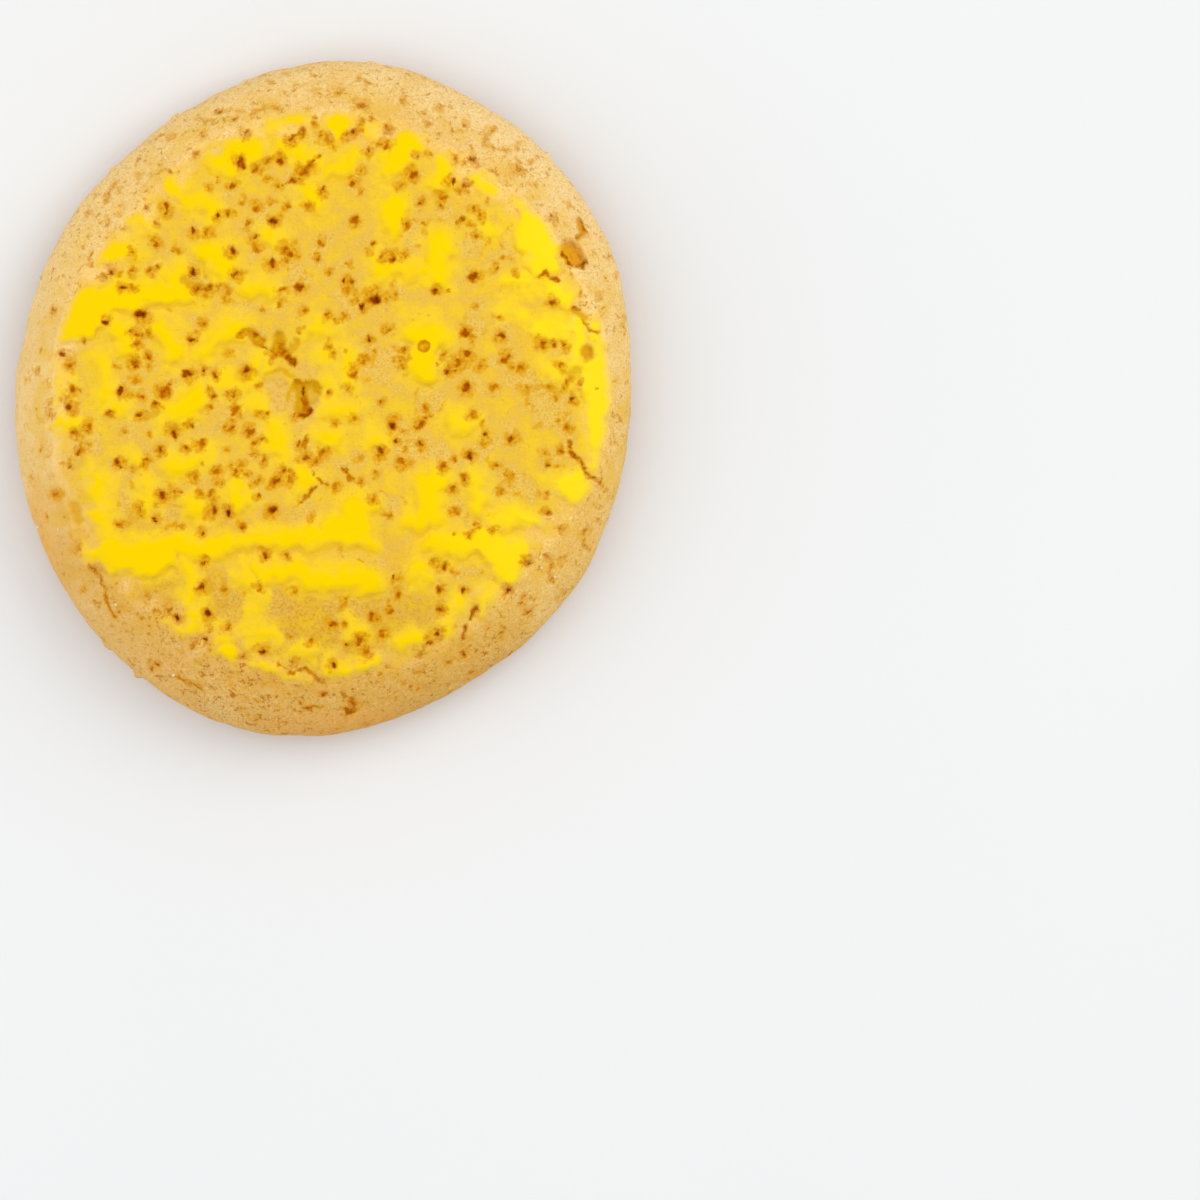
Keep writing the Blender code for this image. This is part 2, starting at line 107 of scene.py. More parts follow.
# Thick runs of icing: from x, y to x, y, half width
RUNS = (
    (-27.0, 8.2, -24.0, 9.6, 2.4), (-24.0, 10.0, -20.5, 10.6, 1.8), (-20.5, 10.9, -14.3, 11.0, 1.4),
    (-15.6, 13.4, -15.2, 11.4, 1.2), (-21.3, 7.2, -20.8, 5.0, 1.1), (-22.6, 15.4, -20.6, 15.9, 1.2),
    (-19.6, 18.8, -18.6, 18.2, 1.0), (-16.7, 22.4, -13.4, 20.9, 1.0), (-13.4, 20.8, -11.3, 19.6, 1.1),
    (-12.2, 15.8, -10.3, 13.6, 1.3), (-10.8, 25.0, -7.2, 26.6, 1.4), (-4.9, 29.3, -2.4, 29.6, 1.1),
    (-3.6, 26.4, -1.2, 25.4, 1.0), (-1.6, 21.7, -0.9, 21.2, 1.1), (-5.2, 17.2, -4.8, 16.6, 0.9),
    (-7.8, 11.8, -5.6, 11.0, 1.0), (-16.7, 7.4, -15.8, 4.4, 1.2), (-12.6, 5.0, -9.2, 7.6, 1.0),
    (-27.9, 2.2, -27.5, -0.2, 0.7), (-23.5, 4.0, -23.1, 1.0, 0.9), (-15.6, -1.9, -12.8, 0.4, 1.2),
    (-1.3, 7.2, 0.3, 6.9, 1.1), (1.4, 29.4, 1.9, 28.7, 1.4), (4.8, 28.9, 5.4, 28.5, 0.9),
    (9.4, 27.3, 7.6, 24.8, 1.4), (0.9, 24.3, 3.5, 25.2, 1.0), (12.7, 25.4, 13.0, 23.2, 1.1),
    (16.2, 23.0, 17.4, 22.2, 1.0), (20.6, 20.2, 21.2, 19.8, 0.8), (22.2, 18.2, 23.2, 16.8, 2.0),
    (23.4, 16.6, 23.7, 14.4, 1.9), (7.4, 20.4, 7.3, 18.3, 1.3), (12.5, 16.2, 12.3, 13.2, 1.4),
    (6.2, 13.8, 11.0, 13.2, 1.0), (10.0, 6.9, 12.2, 6.8, 1.3), (11.0, 6.6, 10.7, 2.6, 1.5),
    (22.6, 7.6, 26.7, 7.9, 0.9), (26.9, 7.9, 26.9, 3.4, 1.0), (19.4, 12.4, 22.4, 12.0, 0.8),
    (24.6, 11.4, 26.2, 10.6, 1.1), (28.6, 7.2, 29.6, 5.6, 1.0), (29.6, 5.6, 29.8, 2.6, 1.0),
    (24.2, 3.3, 26.0, 2.6, 0.7), (19.2, 9.2, 21.0, 8.7, 0.7), (17.2, 18.2, 17.8, 17.8, 0.9),
    (2.6, 4.4, 2.6, 1.6, 0.8), (29.2, 3.0, 29.4, -0.2, 1.5), (29.4, -0.2, 29.2, -4.6, 1.5),
    (29.1, -4.6, 29.0, -7.4, 0.9), (3.8, -11.8, 3.2, -14.2, 1.7), (1.2, -13.6, 4.4, -14.0, 1.4),
    (-1.2, -14.7, 4.6, -14.9, 1.2), (11.7, -9.3, 10.9, -12.2, 1.6), (9.4, -12.7, 12.4, -12.9, 1.0),
    (16.5, -8.4, 16.4, -11.2, 1.0), (25.6, -9.2, 27.4, -9.2, 1.4), (26.6, -10.4, 27.6, -10.0, 1.2),
    (14.4, -2.6, 15.2, -3.0, 1.1), (5.6, -4.2, 6.0, -4.4, 0.7), (1.0, -1.0, 3.4, -1.8, 0.9),
    (0.2, -4.2, 0.9, -4.5, 1.0), (18.5, -12.7, 23.0, -13.0, 0.9), (12.2, -15.5, 17.5, -15.6, 1.4),
    (17.5, -15.6, 20.2, -16.6, 1.9), (19.4, -17.6, 20.0, -18.6, 1.5), (-6.0, -18.4, 5.6, -19.4, 1.2),
    (10.2, -18.9, 10.9, -18.4, 1.1), (17.7, -20.9, 17.4, -22.6, 0.9), (14.3, -21.6, 13.4, -24.3, 0.8),
    (8.8, -26.3, 9.7, -26.0, 1.1), (3.4, -24.2, 4.0, -24.4, 0.9), (0.8, -28.6, 5.0, -28.2, 0.9),
    (-27.2, -17.0, -22.4, -16.5, 1.0), (-22.0, -16.6, -17.2, -16.9, 1.9),
    (-17.4, -15.9, -10.0, -15.6, 1.3), (-10.0, -15.5, -3.0, -14.8, 1.1), (-3.0, -14.8, 1.0, -14.5, 1.0),
    (-14.5, -17.4, -13.8, -21.0, 0.9), (-13.8, -21.0, -13.6, -24.4, 0.9),
    (-16.4, -24.0, -14.2, -24.9, 0.7), (-23.6, -8.6, -23.7, -12.4, 1.0),
    (-23.7, -12.4, -22.5, -14.6, 0.8), (-27.8, -2.7, -25.5, -2.5, 0.9), (-22.0, -0.8, -20.8, -1.2, 0.8),
    (-15.8, -7.4, -12.6, -6.2, 1.0), (-9.0, -9.4, -8.4, -10.9, 1.2), (-2.5, -8.6, -1.9, -9.0, 1.0),
    (-5.4, -3.1, -4.1, -6.2, 0.9), (-13.7, -11.3, -13.2, -11.9, 1.1), (-19.9, -6.4, -19.6, -6.7, 0.7),
    (-18.6, -9.6, -18.3, -11.4, 0.8), (-10.8, -26.9, -10.1, -26.6, 1.1), (-6.8, -28.5, -2.0, -30.1, 0.8),
    (-3.4, -27.0, -1.6, -26.8, 0.8), (-8.4, -18.8, -7.6, -18.7, 0.8), (-11.6, -25.2, -5.5, -25.1, 0.6),
    (-7.0, -20.0, -6.8, -24.8, 0.6), (-7.4, 3.6, -7.6, 1.4, 0.8), (-6.9, -0.6, -5.6, -1.8, 0.7),
    (-6.4, 4.2, -5.6, 3.4, 0.6), (-0.4, 4.4, 0.4, 5.2, 0.6), (0.9, 1.2, 1.2, 0.6, 0.6),
    (-10.4, 1.6, -9.2, 1.0, 0.7),
)
RUN_WARPS = ((3.2, 0.90, 31), (1.3, 0.50, 32), (0.7, 0.16, 39))
RUN_SOFTNESS = (-0.75, 1.05)
# How far below a thick run its painted shade reaches
RUN_SHADE_REACH = 0.45

# Places where the crumb shows through the film: x, y, half width along and across, slant in degrees
ISLANDS = (
    (7.0, 3.4, 2.3, 1.8, 20), (9.8, 17.4, 1.6, 1.3, 0), (16.0, 16.2, 1.9, 1.5, 30),
    (20.0, 16.4, 1.2, 1.6, 0), (11.6, -0.4, 1.6, 1.3, 0), (24.0, -1.4, 2.0, 1.6, 0),
    (-20.4, -11.0, 1.5, 1.9, 0), (-5.0, -22.0, 1.9, 1.6, 0), (3.6, -21.8, 2.2, 1.0, 0),
    (16.6, -12.9, 1.9, 1.2, 0), (-13.2, 13.2, 1.0, 1.4, 0), (9.4, -5.6, 1.5, 1.2, 0),
    (-2.4, 13.0, 1.3, 1.6, 0), (4.4, -17.0, 2.4, 0.8, -8), (15.6, 7.4, 1.7, 1.5, 0),
    (21.0, -9.4, 1.9, 1.6, 0), (-17.4, 8.6, 1.6, 0.8, 0), (-24.4, -5.0, 1.5, 1.4, 0),
    (-9.4, -22.4, 1.4, 1.8, 0), (-4.6, 0.8, 1.5, 1.8, 0), (20.8, 2.2, 1.6, 1.2, 0),
    (17.4, -5.4, 1.5, 1.0, 40), (-16.4, -12.6, 1.4, 1.3, 0), (6.6, -11.4, 1.9, 1.1, 0),
    (12.2, -5.8, 1.3, 1.2, 0), (18.5, -11.0, 1.5, 1.2, 0), (12.5, -22.1, 0.9, 1.2, 0),
    (15.4, -18.8, 1.3, 0.7, 0), (1.1, -21.9, 1.0, 0.9, 0), (-17.2, -9.4, 1.3, 0.9, 0),
    (-9.2, -19.8, 1.2, 1.0, 0), (19.4, 8.0, 1.5, 1.1, 20), (-2.0, -18.0, 2.2, 0.5, -5),
    (12.9, 19.6, 1.2, 0.9, 0), (-8.2, 8.9, 1.2, 0.8, 0), (22.6, 1.0, 1.3, 0.8, 0),
)
ISLAND_EDGE = (0.70, 1.15)
RING_INNER_EDGE = (0.62, 0.92)
RING_OUTER_EDGE = (0.98, 1.25)
ISLAND_RING = 0.40
RING_BREAKS = ((1.2, 1.0, 44),)
ISLAND_DIP = 0.05

# Spots of the side that baked a stronger colour, in the terms of the islands
BAKED_SPOTS = ((-30.6, -14.0, 2.4, 4.0, 25), (4.0, -35.0, 12.0, 2.2, 0))
BAKED_EDGE = (0.35, 1.35)

# How thick the film looks between the runs: least, more away from bubbles, patches, and less on the islands
LEAST_FILM = 0.20
CLEAR_FILM = 0.55
PATCHY_FILM = 0.75
ISLAND_FILM = 0.90
FILM_PATCHES = ((3.6, 0.8, 41), (1.9, 0.9, 42))
FILM_GRAIN = ((1.0, 0.035, 43),)
FILM_CLEAR = (0.25, 1.25)

# Open bubbles that show best: x, y, half width along and across of the dark opening, slant in degrees, depth
MAIN_PITS = (
    (5.5, 10.3, 0.95, 0.46, 3, 2.0), (4.2, 9.6, 0.42, 0.28, 35, 1.3), (-19.2, 8.8, 0.80, 0.34, 8, 1.6),
    (-23.0, 8.1, 0.26, 0.24, 0, 1.4), (-14.3, 2.5, 0.75, 0.26, 8, 1.2), (-12.5, 2.9, 0.30, 0.20, 0, 1.0),
    (-14.0, 6.1, 0.42, 0.24, 10, 1.2), (-5.2, 18.5, 0.60, 0.26, -8, 1.4),
    (12.0, 11.3, 0.30, 0.26, 0, 1.3), (4.9, 6.1, 0.28, 0.40, 0, 1.3), (7.5, -2.9, 0.52, 0.44, 20, 1.7),
    (7.8, -4.6, 0.26, 0.34, 0, 1.2), (15.6, -6.1, 0.28, 0.36, 0, 1.3), (17.2, -3.9, 0.28, 0.34, 0, 1.3),
    (23.8, -7.1, 0.26, 0.22, 20, 1.3), (26.4, -0.2, 0.22, 0.30, 0, 1.2),
    (-5.2, -11.9, 0.56, 0.42, 15, 1.5), (-9.9, -12.2, 0.36, 0.46, 10, 1.6),
    (-12.1, -22.8, 0.60, 0.26, -10, 1.7), (-6.3, -26.9, 0.52, 0.30, -15, 1.4),
    (-15.4, -23.4, 0.50, 0.24, -35, 1.3), (-28.2, -10.1, 0.30, 0.24, 0, 0.9),
    (-26.8, -1.0, 0.42, 0.40, 0, 0.9), (-27.5, 4.8, 0.26, 0.42, 0, 1.0),
    (-19.3, -1.9, 0.44, 0.28, 0, 1.0), (-8.0, 2.8, 0.46, 0.36, 60, 1.0),
    (-11.0, 19.2, 0.24, 0.42, 10, 1.1), (2.4, 12.4, 0.26, 0.30, 0, 1.0), (16.0, 12.8, 0.40, 0.56, 0, 0.9),
    (13.8, 23.0, 0.50, 0.26, 40, 1.1), (-22.4, 13.4, 0.40, 0.24, 0, 1.0),
    (10.4, 20.7, 0.28, 0.32, 0, 1.0), (24.3, 10.1, 0.30, 0.42, 0, 1.0), (13.2, 2.8, 0.32, 0.38, 0, 1.2),
    (19.6, -20.3, 0.42, 0.36, 0, 1.1), (12.9, -18.0, 0.56, 0.36, 30, 0.8),
    (12.4, -20.3, 0.34, 0.42, 0, 0.9), (14.8, -20.4, 0.28, 0.30, 0, 1.1),
    (12.4, -22.4, 0.42, 0.30, 10, 0.8), (2.6, -26.2, 0.34, 0.28, 0, 1.2),
    (-12.4, -25.6, 0.40, 0.26, -30, 1.1), (1.2, -28.2, 0.32, 0.40, 30, 1.2),
    (11.3, -25.8, 0.46, 0.26, -25, 1.0), (12.2, -24.9, 0.24, 0.46, 0, 1.0),
    (-21.2, 0.6, 0.30, 0.56, 10, 1.2), (-17.6, -13.0, 0.28, 0.30, 0, 1.2),
    (-21.0, 11.7, 0.46, 0.22, 15, 1.2), (-13.6, 13.3, 0.26, 0.46, 0, 1.1),
)

# Places of the small open bubbles between them
SMALL_PITS = (
    (-8.0, 28.1), (-3.2, 27.4), (-1.0, 29.0), (-2.0, 23.8), (-4.4, 25.0), (-8.6, 24.8), (-7.1, 24.1),
    (-4.5, 22.4), (0.0, 22.0), (-9.6, 22.4), (-12.0, 22.3), (-16.4, 20.3), (-16.6, 19.4), (-17.6, 18.3),
    (-13.7, 17.6), (-12.2, 17.3), (-10.9, 19.1), (-10.0, 19.6), (-6.9, 20.0), (-3.7, 20.3), (-7.1, 16.9),
    (-17.7, 16.3), (-15.1, 15.6), (-20.1, 15.4), (-22.6, 13.5), (-18.3, 13.5), (-20.1, 11.7),
    (-9.5, 15.5), (-9.2, 12.9), (-12.4, 11.4), (-9.8, 11.1), (-5.2, 14.2), (-3.3, 15.2), (-2.5, 11.7),
    (-1.9, 9.3), (-26.8, 3.4), (-19.6, 6.7), (-19.6, 5.7), (-18.3, 4.3), (-19.7, 3.5), (-21.8, 3.1),
    (-12.5, 7.9), (-9.7, 4.7), (-26.5, 1.0), (-16.7, 0.6), (-11.5, 0.2), (-21.0, -3.7), (4.2, 30.9),
    (4.2, 29.3), (3.4, 28.1), (6.9, 28.4), (6.8, 26.7), (4.9, 26.2), (10.2, 25.5), (11.3, 25.8),
    (4.1, 24.0), (3.2, 22.7), (8.1, 22.4), (9.7, 23.6), (15.1, 22.4), (12.8, 21.2), (16.6, 19.4),
    (14.6, 18.8), (3.4, 18.7), (8.9, 18.2), (5.4, 16.3), (-0.2, 16.1), (6.2, 14.8), (7.5, 14.8),
    (0.8, 13.1), (3.1, 12.2), (2.6, 11.3), (18.4, 13.7), (0.5, 8.7), (0.8, 5.3), (4.4, 3.9), (3.4, 2.5),
    (15.2, 6.8), (15.4, 4.7), (18.9, 6.5), (14.3, 3.6), (15.3, 1.1), (18.2, 1.0), (19.5, 4.0),
    (24.0, 19.2), (20.7, 24.2), (15.8, 25.2), (23.4, 5.6), (24.5, 5.8), (25.2, 3.6), (21.0, 3.2),
    (25.9, 1.7), (27.3, 1.5), (6.3, -0.5), (10.9, -1.3), (3.5, -2.3), (10.5, -2.8), (10.5, -4.9),
    (16.0, -1.8), (19.9, -4.4), (25.9, -3.1), (25.2, -5.6), (0.0, -5.9), (6.1, -5.7), (4.0, -6.5),
    (8.4, -6.8), (4.2, -9.0), (1.2, -9.4), (5.4, -10.8), (13.8, -9.6), (12.8, -7.2), (14.2, -12.1),
    (18.9, -9.9), (24.0, -12.2), (25.3, -13.8), (15.6, -14.5), (21.7, -17.5), (7.7, -19.0), (19.5, -20.5),
    (16.2, -22.4), (7.3, -22.7), (5.2, -23.2), (1.1, -24.0), (6.4, -24.8), (3.9, -25.8), (4.7, -26.8),
    (0.0, -30.1), (10.3, -30.5), (14.8, -27.3), (-28.8, -1.2), (-24.7, -3.0), (-13.8, -2.9),
    (-15.6, -3.9), (-11.8, -1.1), (-9.1, -1.5), (-5.9, -1.8), (-9.6, -3.3), (-7.7, -3.6), (-26.2, -3.8),
    (-25.8, -5.8), (-26.8, -7.4), (-14.4, -5.3), (-12.7, -4.9), (-17.2, -5.5), (-7.0, -4.8),
    (-18.7, -6.5), (-21.7, -6.9), (-13.5, -8.4), (-11.2, -7.8), (-8.6, -7.2), (-6.2, -6.7), (-2.4, -5.0),
    (-1.6, -6.5), (-4.0, -7.7), (-4.9, -8.8), (-6.7, -8.7), (-17.0, -10.3), (-12.9, -10.2),
    (-11.6, -10.2), (-19.3, -11.8), (-15.9, -13.4), (-21.4, -13.5), (-12.6, -14.3), (-11.4, -12.0),
    (-6.7, -10.5), (-8.4, -13.7), (-12.5, -17.4), (-6.0, -16.8), (-24.0, -18.3), (-21.5, -22.8),
    (-12.8, -20.0), (-10.2, -20.3), (-6.6, -20.2), (-16.2, -22.4), (-9.9, -24.4), (-13.7, -26.3),
    (-8.4, -27.4), (-1.2, -25.7), (-17.6, -28.3), (-13.2, -30.5),
)

# Places of flecks and short tears in the bare rim
RIM_FLECKS = (
    (-19.5, 23.9), (-15.7, 27.9), (-12.8, 27.9), (-11.7, 29.6), (-11.1, 30.5), (-9.4, 29.6),
    (-13.7, 23.0), (-12.6, 26.3), (-22.9, 18.4), (-25.0, 19.7), (-24.4, 15.0), (-25.6, 13.7),
    (-19.2, -23.2), (-26.7, -14.5), (-29.4, -12.5), (-6.9, -32.0), (0.1, -31.4), (15.7, -29.0),
    (10.8, -28.3), (13.1, -28.0), (-4.9, -30.3), (10.2, -30.8), (24.4, 18.2), (20.6, 26.6), (22.0, 24.9),
    (22.4, 22.6), (26.3, 20.4), (18.0, 28.4), (8.6, 31.6), (12.2, 31.0), (15.0, 29.0), (29.4, 10.6),
    (30.6, 2.0), (29.6, -9.2), (27.6, -14.2), (21.9, -22.6), (25.2, -17.0), (23.0, -14.9), (22.6, -15.8),
    (18.9, -25.0), (-28.6, 9.4), (-30.4, 3.0), (-29.9, -5.4), (-1.0, 32.8), (4.6, 33.4),
)

# Broken spots that strewn bubbles keep away from
BROKEN_SPOTS = ((-4.5, 0.5), (-2.0, 0.0), (-4.3, 5.0), (-1.0, 2.0))

# Smaller bubbles strewn between those, clear of the thick runs, and pores in the bare rim: how many,
# where, how far apart and how large, and how every opening is shaped, haloed and darkened
STREWN_PITS = 130
RIM_PORES = 90
PIT_TRIES = 14000
INSIDE_ICED_EDGE = 0.3
BARE_FROM_EDGE = 0.6
RIM_LIMIT = 0.985
PIT_SPACING = 0.85
PORE_SPACING = 0.8
PIT_SEED = 8
PIT_SIZES = (0.18, 0.38)
STREWN_SIZES = (0.11, 0.24)
PORE_SIZES = (0.08, 0.18)
FLECK_SIZES = (0.14, 0.30)
PIT_STRETCH = (1.0, 2.0)
PIT_SLANT = (15, 100)
PIT_DEEPNESS = (0.4, 1.7)
MAIN_DEEPNESS = 0.55
COMPANY = 0.30
COMPANY_GAPS = (0.10, 0.60)
COMPANY_SIZES = (0.40, 0.80)
PIT_WARPS = ((1.1, 0.30, 33), (0.5, 0.24, 34))
HALO_WARPS = ((1.8, 0.45, 37), (0.8, 0.36, 38))
HALO = 0.46
PORE_HALO = 0.12
HALO_GROWS = 0.75
HALO_DIP = 0.13
# Setting the halo off to one side paints a shadow arc beside the opening
HALO_SHIFT = 0.45
HALO_STARTS = 0.6
WALL = 0.7
CORE_LEVEL = 0.48
FAINTEST = 0.56
# Openings darken with their size and depth: partly browner crumb, partly painted shade in the hollow
SIZE_DARKENS = 0.75
DEPTH_DARKENS = 0.42
DARKEST = 1.15
TEAR_HALO = 0.10
TEAR_DEEPNESS = 0.6
TEAR_BREAKS = ((1.0, 0.22, 35), (0.5, 0.12, 36))

# Tears of the crust: half width, depth, points
TEARS = (
    (0.20, 0.6, ((-3.9, 22.6), (-2.4, 23.4), (-1.8, 24.0), (-0.3, 25.7))),
    (0.16, 0.5, ((-3.3, 27.3), (-2.6, 27.7), (-2.1, 28.6))),
    (0.10, 0.4, ((-3.0, -11.6), (-1.6, -10.5), (-0.9, -9.6), (0.1, -9.0))),
    (0.08, 0.3, ((-0.9, -7.9), (-0.2, -8.7), (0.6, -9.2))),
    (0.14, 0.35, ((-4.7, -28.2), (-3.2, -29.1), (-1.8, -28.7), (0.0, -30.1))),
    (0.18, 0.7, ((16.1, -22.4), (15.6, -23.4), (15.0, -24.0), (14.9, -25.5))),
    (0.15, 0.6, ((26.1, -4.6), (26.2, -5.6), (27.4, -6.9), (28.2, -8.3), (29.3, -8.8))),
    (
        0.20, 0.25,
        ((-24.6, -17.9), (-23.6, -18.6), (-23.2, -20.2), (-22.8, -21.6), (-21.9, -23.0), (-21.3, -22.8)),
    ),
    (0.12, 0.25, ((-17.1, 24.2), (-15.2, 23.8))),
    (0.13, 0.25, ((-7.8, 29.9), (-6.8, 30.6), (-5.8, 31.0), (-4.6, 30.8))),
    (0.20, 0.2, ((-15.4, -29.6), (-14.6, -30.1), (-13.6, -30.3), (-12.9, -30.8))),
    (0.22, 0.3, ((-2.4, -32.6), (-1.2, -32.9), (0.0, -32.7))),
    (0.24, 0.25, ((23.6, -16.6), (24.4, -17.6), (23.8, -18.6), (24.6, -19.6))),
    (0.24, 0.25, ((21.4, -20.8), (21.0, -21.9), (21.6, -22.8))),
    (0.18, 0.2, ((17.2, 27.0), (18.6, 26.4), (19.8, 26.5))),
    (0.10, 0.4, ((2.3, -7.7), (2.9, -8.5), (4.2, -9.2))),
    (0.10, 0.4, ((-1.6, -4.0), (-1.9, -5.4), (-1.5, -6.8))),
    (0.22, 0.25, ((-22.1, 22.8), (-22.5, 22.0), (-23.0, 20.9))),
)

# Broken ground round the docking hole and by the edge, where later strokes lie over earlier ones:
# half width, depth, darkness (partly painted shade on the shadowed walls and edges of the hollows),
# share of ochre, share of pale crumb, points
STROKES = (
    (1.15, 0.12, 0.0, 0.0, 1.0, ((-5.0, 1.3), (-4.2, 0.6), (-4.6, -0.6))),
    (0.80, 0.05, 0.0, 0.0, 0.6, ((-2.4, 3.2), (-1.0, 2.6))),
    (0.30, 0.10, 0.2, 0.7, 0.0, ((-5.9, 2.5), (-4.3, 2.9), (-2.9, 2.2))),
    (0.45, -0.1, 0.0, 0.0, 1.0, ((-0.6, -0.2), (-1.0, -1.2), (-1.1, -2.2))),
    (0.80, 0.80, 0.1, 1.0, 0.0, ((-2.4, 1.0), (-0.9, 0.9))),
    (0.82, 0.80, 0.1, 1.0, 0.0, ((-2.1, 0.3), (-2.1, -1.3))),
    (0.30, 0.30, 0.0, 0.3, 0.8, ((-3.1, 0.5), (-3.0, -0.3))),
    (0.22, 0.20, 0.1, 0.9, 0.0, ((-2.9, 1.6), (-3.4, 0.8), (-3.7, -0.2))),
    (0.55, 0.50, 0.0, 0.8, 0.4, ((-1.1, 0.6), (-1.0, -0.2))),
    (0.28, 0.70, 0.5, 1.0, 0.0, ((-2.7, 1.7), (-2.1, 1.4), (-1.5, 1.5))),
    (0.22, 0.50, 0.3, 1.0, 0.0, ((-1.3, 1.6), (-0.7, 1.5), (-0.1, 1.0))),
    (0.16, 1.60, 1.0, 1.0, 0.0, ((-2.0, 1.1), (-1.9, 0.3))),
    (0.40, 1.20, 0.75, 1.0, 0.0, ((-1.8, -0.1), (-1.7, -1.3))),
    (0.34, 1.10, 1.0, 1.0, 0.0, ((-2.2, -1.8), (-1.7, -1.8), (-1.2, -1.4))),
    (0.62, 0.50, 0.3, 1.0, 0.0, ((-4.6, 6.4), (-4.4, 5.2))),
    (0.58, 0.60, 0.5, 1.0, 0.0, ((-4.8, 4.9), (-3.7, 4.6))),
    (0.32, 0.70, 0.8, 1.0, 0.0, ((-4.4, 5.7), (-4.2, 4.9))),
    (0.44, 0.90, 0.9, 1.0, 0.0, ((-3.5, 4.1), (-3.1, 3.8))),
    (0.40, 0.25, 0.2, 0.8, 0.0, ((-3.3, 4.8), (-2.9, 5.5), (-2.6, 6.0))),
    (0.42, 0.30, 0.55, 0.8, 0.0, ((-8.7, 6.5), (-8.2, 6.8))),
    (0.66, 0.30, 0.55, 0.8, 0.0, ((-7.5, 6.8), (-6.5, 5.9))),
    (0.13, 0.30, 0.8, 0.9, 0.0, ((-6.5, 5.6), (-5.4, 4.9), (-4.9, 4.5))),
    (0.90, 0.25, 0.1, 0.6, 0.0, ((-8.3, 2.6), (-8.0, 2.8))),
    (1.05, 1.10, 0.1, 0.9, 0.0, ((26.0, 15.7), (26.7, 14.8))),
    (0.40, -0.2, 0.0, 0.0, 0.8, ((25.1, 14.9), (25.3, 13.9), (25.9, 13.4))),
    (0.26, 1.20, 1.1, 1.0, 0.0, ((25.4, 15.4), (25.8, 14.6), (26.4, 14.1), (27.4, 14.0), (27.8, 14.4))),
    (0.46, 0.70, 0.2, 0.9, 0.0, ((27.2, 18.8), (27.6, 17.5))),
    (0.20, 0.80, 0.9, 1.0, 0.0, ((27.6, 18.0), (27.4, 17.3), (26.9, 17.0))),
    (0.17, 0.40, 0.8, 0.9, 0.0, ((22.9, 12.5), (23.5, 13.3), (24.0, 12.7), (24.9, 12.5))),
    (0.40, 0.30, 0.2, 0.9, 0.0, ((26.5, 9.4), (27.4, 8.8), (27.9, 8.4))),
    (0.24, 0.50, 0.9, 0.9, 0.0, ((26.4, 9.5), (27.1, 9.3))),
    (0.16, 0.30, 0.6, 0.9, 0.0, ((27.5, 8.2), (28.4, 7.2), (29.2, 7.0), (30.1, 7.3))),
    (0.72, 0.50, 0.2, 0.9, 0.0, ((28.0, 5.0), (28.0, 4.6))),
    (0.60, 0.20, 0.0, 0.6, 0.0, ((26.3, 2.5), (26.9, 2.9))),
    (0.34, 0.15, 0.1, 0.6, 0.0, ((21.2, 0.3), (22.2, 1.0), (23.6, 1.1), (24.9, 0.6))),
    (0.60, 0.30, 0.1, 0.8, 0.3, ((-26.2, -11.6), (-25.9, -12.8))),
    (0.50, 0.50, 0.95, 0.6, 0.0, ((2.6, -33.1), (3.3, -33.0), (3.2, -32.1))),
    (0.62, 0.25, 0.3, 0.8, 0.0, ((-28.4, -10.2), (-28.0, -10.3))),
    (0.45, 0.25, 0.2, 0.7, 0.0, ((-14.6, 12.4), (-13.6, 11.8), (-12.8, 11.7))),
    (0.40, 0.25, 0.1, 0.7, 0.0, ((-18.6, -2.2), (-17.6, -1.6))),
)
STROKE_WARPS = ((0.9, 0.16, 33), (0.45, 0.16, 34))
STROKE_EDGE = (0.4, 1.3)

# Bubbles that burst in the thick icing: x, y, radius
BUBBLES = (
    (10.8, 5.4, 0.66), (12.2, 3.5, 0.20), (2.5, 4.9, 0.24), (5.6, 4.9, 0.22), (13.4, 11.3, 0.22),
    (14.0, -14.4, 0.22), (13.4, -17.6, 0.20), (-11.4, -11.0, 0.22), (-9.4, 24.9, 0.20),
    (-7.5, -6.1, 0.22), (29.0, 1.0, 0.18), (7.0, -21.5, 0.18), (-12.6, -7.0, 0.20),
)
BUBBLE_DARK = 0.60

# Crumbs that stand out of the edge: direction in degrees, level, half width, reach
NUBS = (
    (235.9, 5.0, 0.60, 0.45), (228.5, 4.6, 0.8, 0.30), (117.7, 5.6, 0.8, 0.28), (132.6, 5.2, 0.6, 0.30),
    (82.1, 5.4, 0.8, 0.30), (47.3, 5.6, 0.7, 0.35), (156.8, 6.4, 0.45, 0.40), (104.0, 5.0, 0.7, 0.25),
)

# Sugar grains on the crust: places of those that show best, and size, shares of the way out and seed of more
GRAIN_PLACES = ((-16.7, 25.5), (-24.7, 16.2), (-21.9, -21.9), (23.2, -18.0), (-30.4, -13.6), (24.6, -18.9))
GRAIN_COUNT = 14
GRAIN_SIZES = (0.10, 0.24)
GRAIN_STRETCH = (0.8, 1.3)
GRAIN_SHARES = (0.87, 0.96)
GRAIN_BEVEL = 0.03
GRAIN_SEED = 61

# The photograph: its square frame at the level of the widest edge, and where its middle is
FRAME_WIDTH = 127.9
FRAME_MIDDLE = (29.4, -21.4)
LENS = 300.0
SENSOR = 36.0


def noise(points, size, seed):
    """Smooth random swells about one size across, from about -1 to 1, at each of the points."""
    random = np.random.default_rng(seed)
    slopes = random.normal(size=(256, 3))
    slopes /= np.linalg.norm(slopes, axis=1, keepdims=True)
    order = random.permutation(256)
    cell = np.floor(points / size).astype(int)
    inside = points / size - cell
    ease = inside**3 * (inside * (inside * 6 - 15) + 10)
    total = np.zeros(len(points))
    for corner in itertools.product((0, 1), repeat=3):
        i, j, k = (cell + corner).T % 256
        slope = slopes[order[(i + order[(j + order[k]) % 256]) % 256]]
        weight = np.where(corner, ease, 1 - ease).prod(axis=1)
        total += weight * (slope * (inside - corner)).sum(axis=1)
    return 1.6 * total


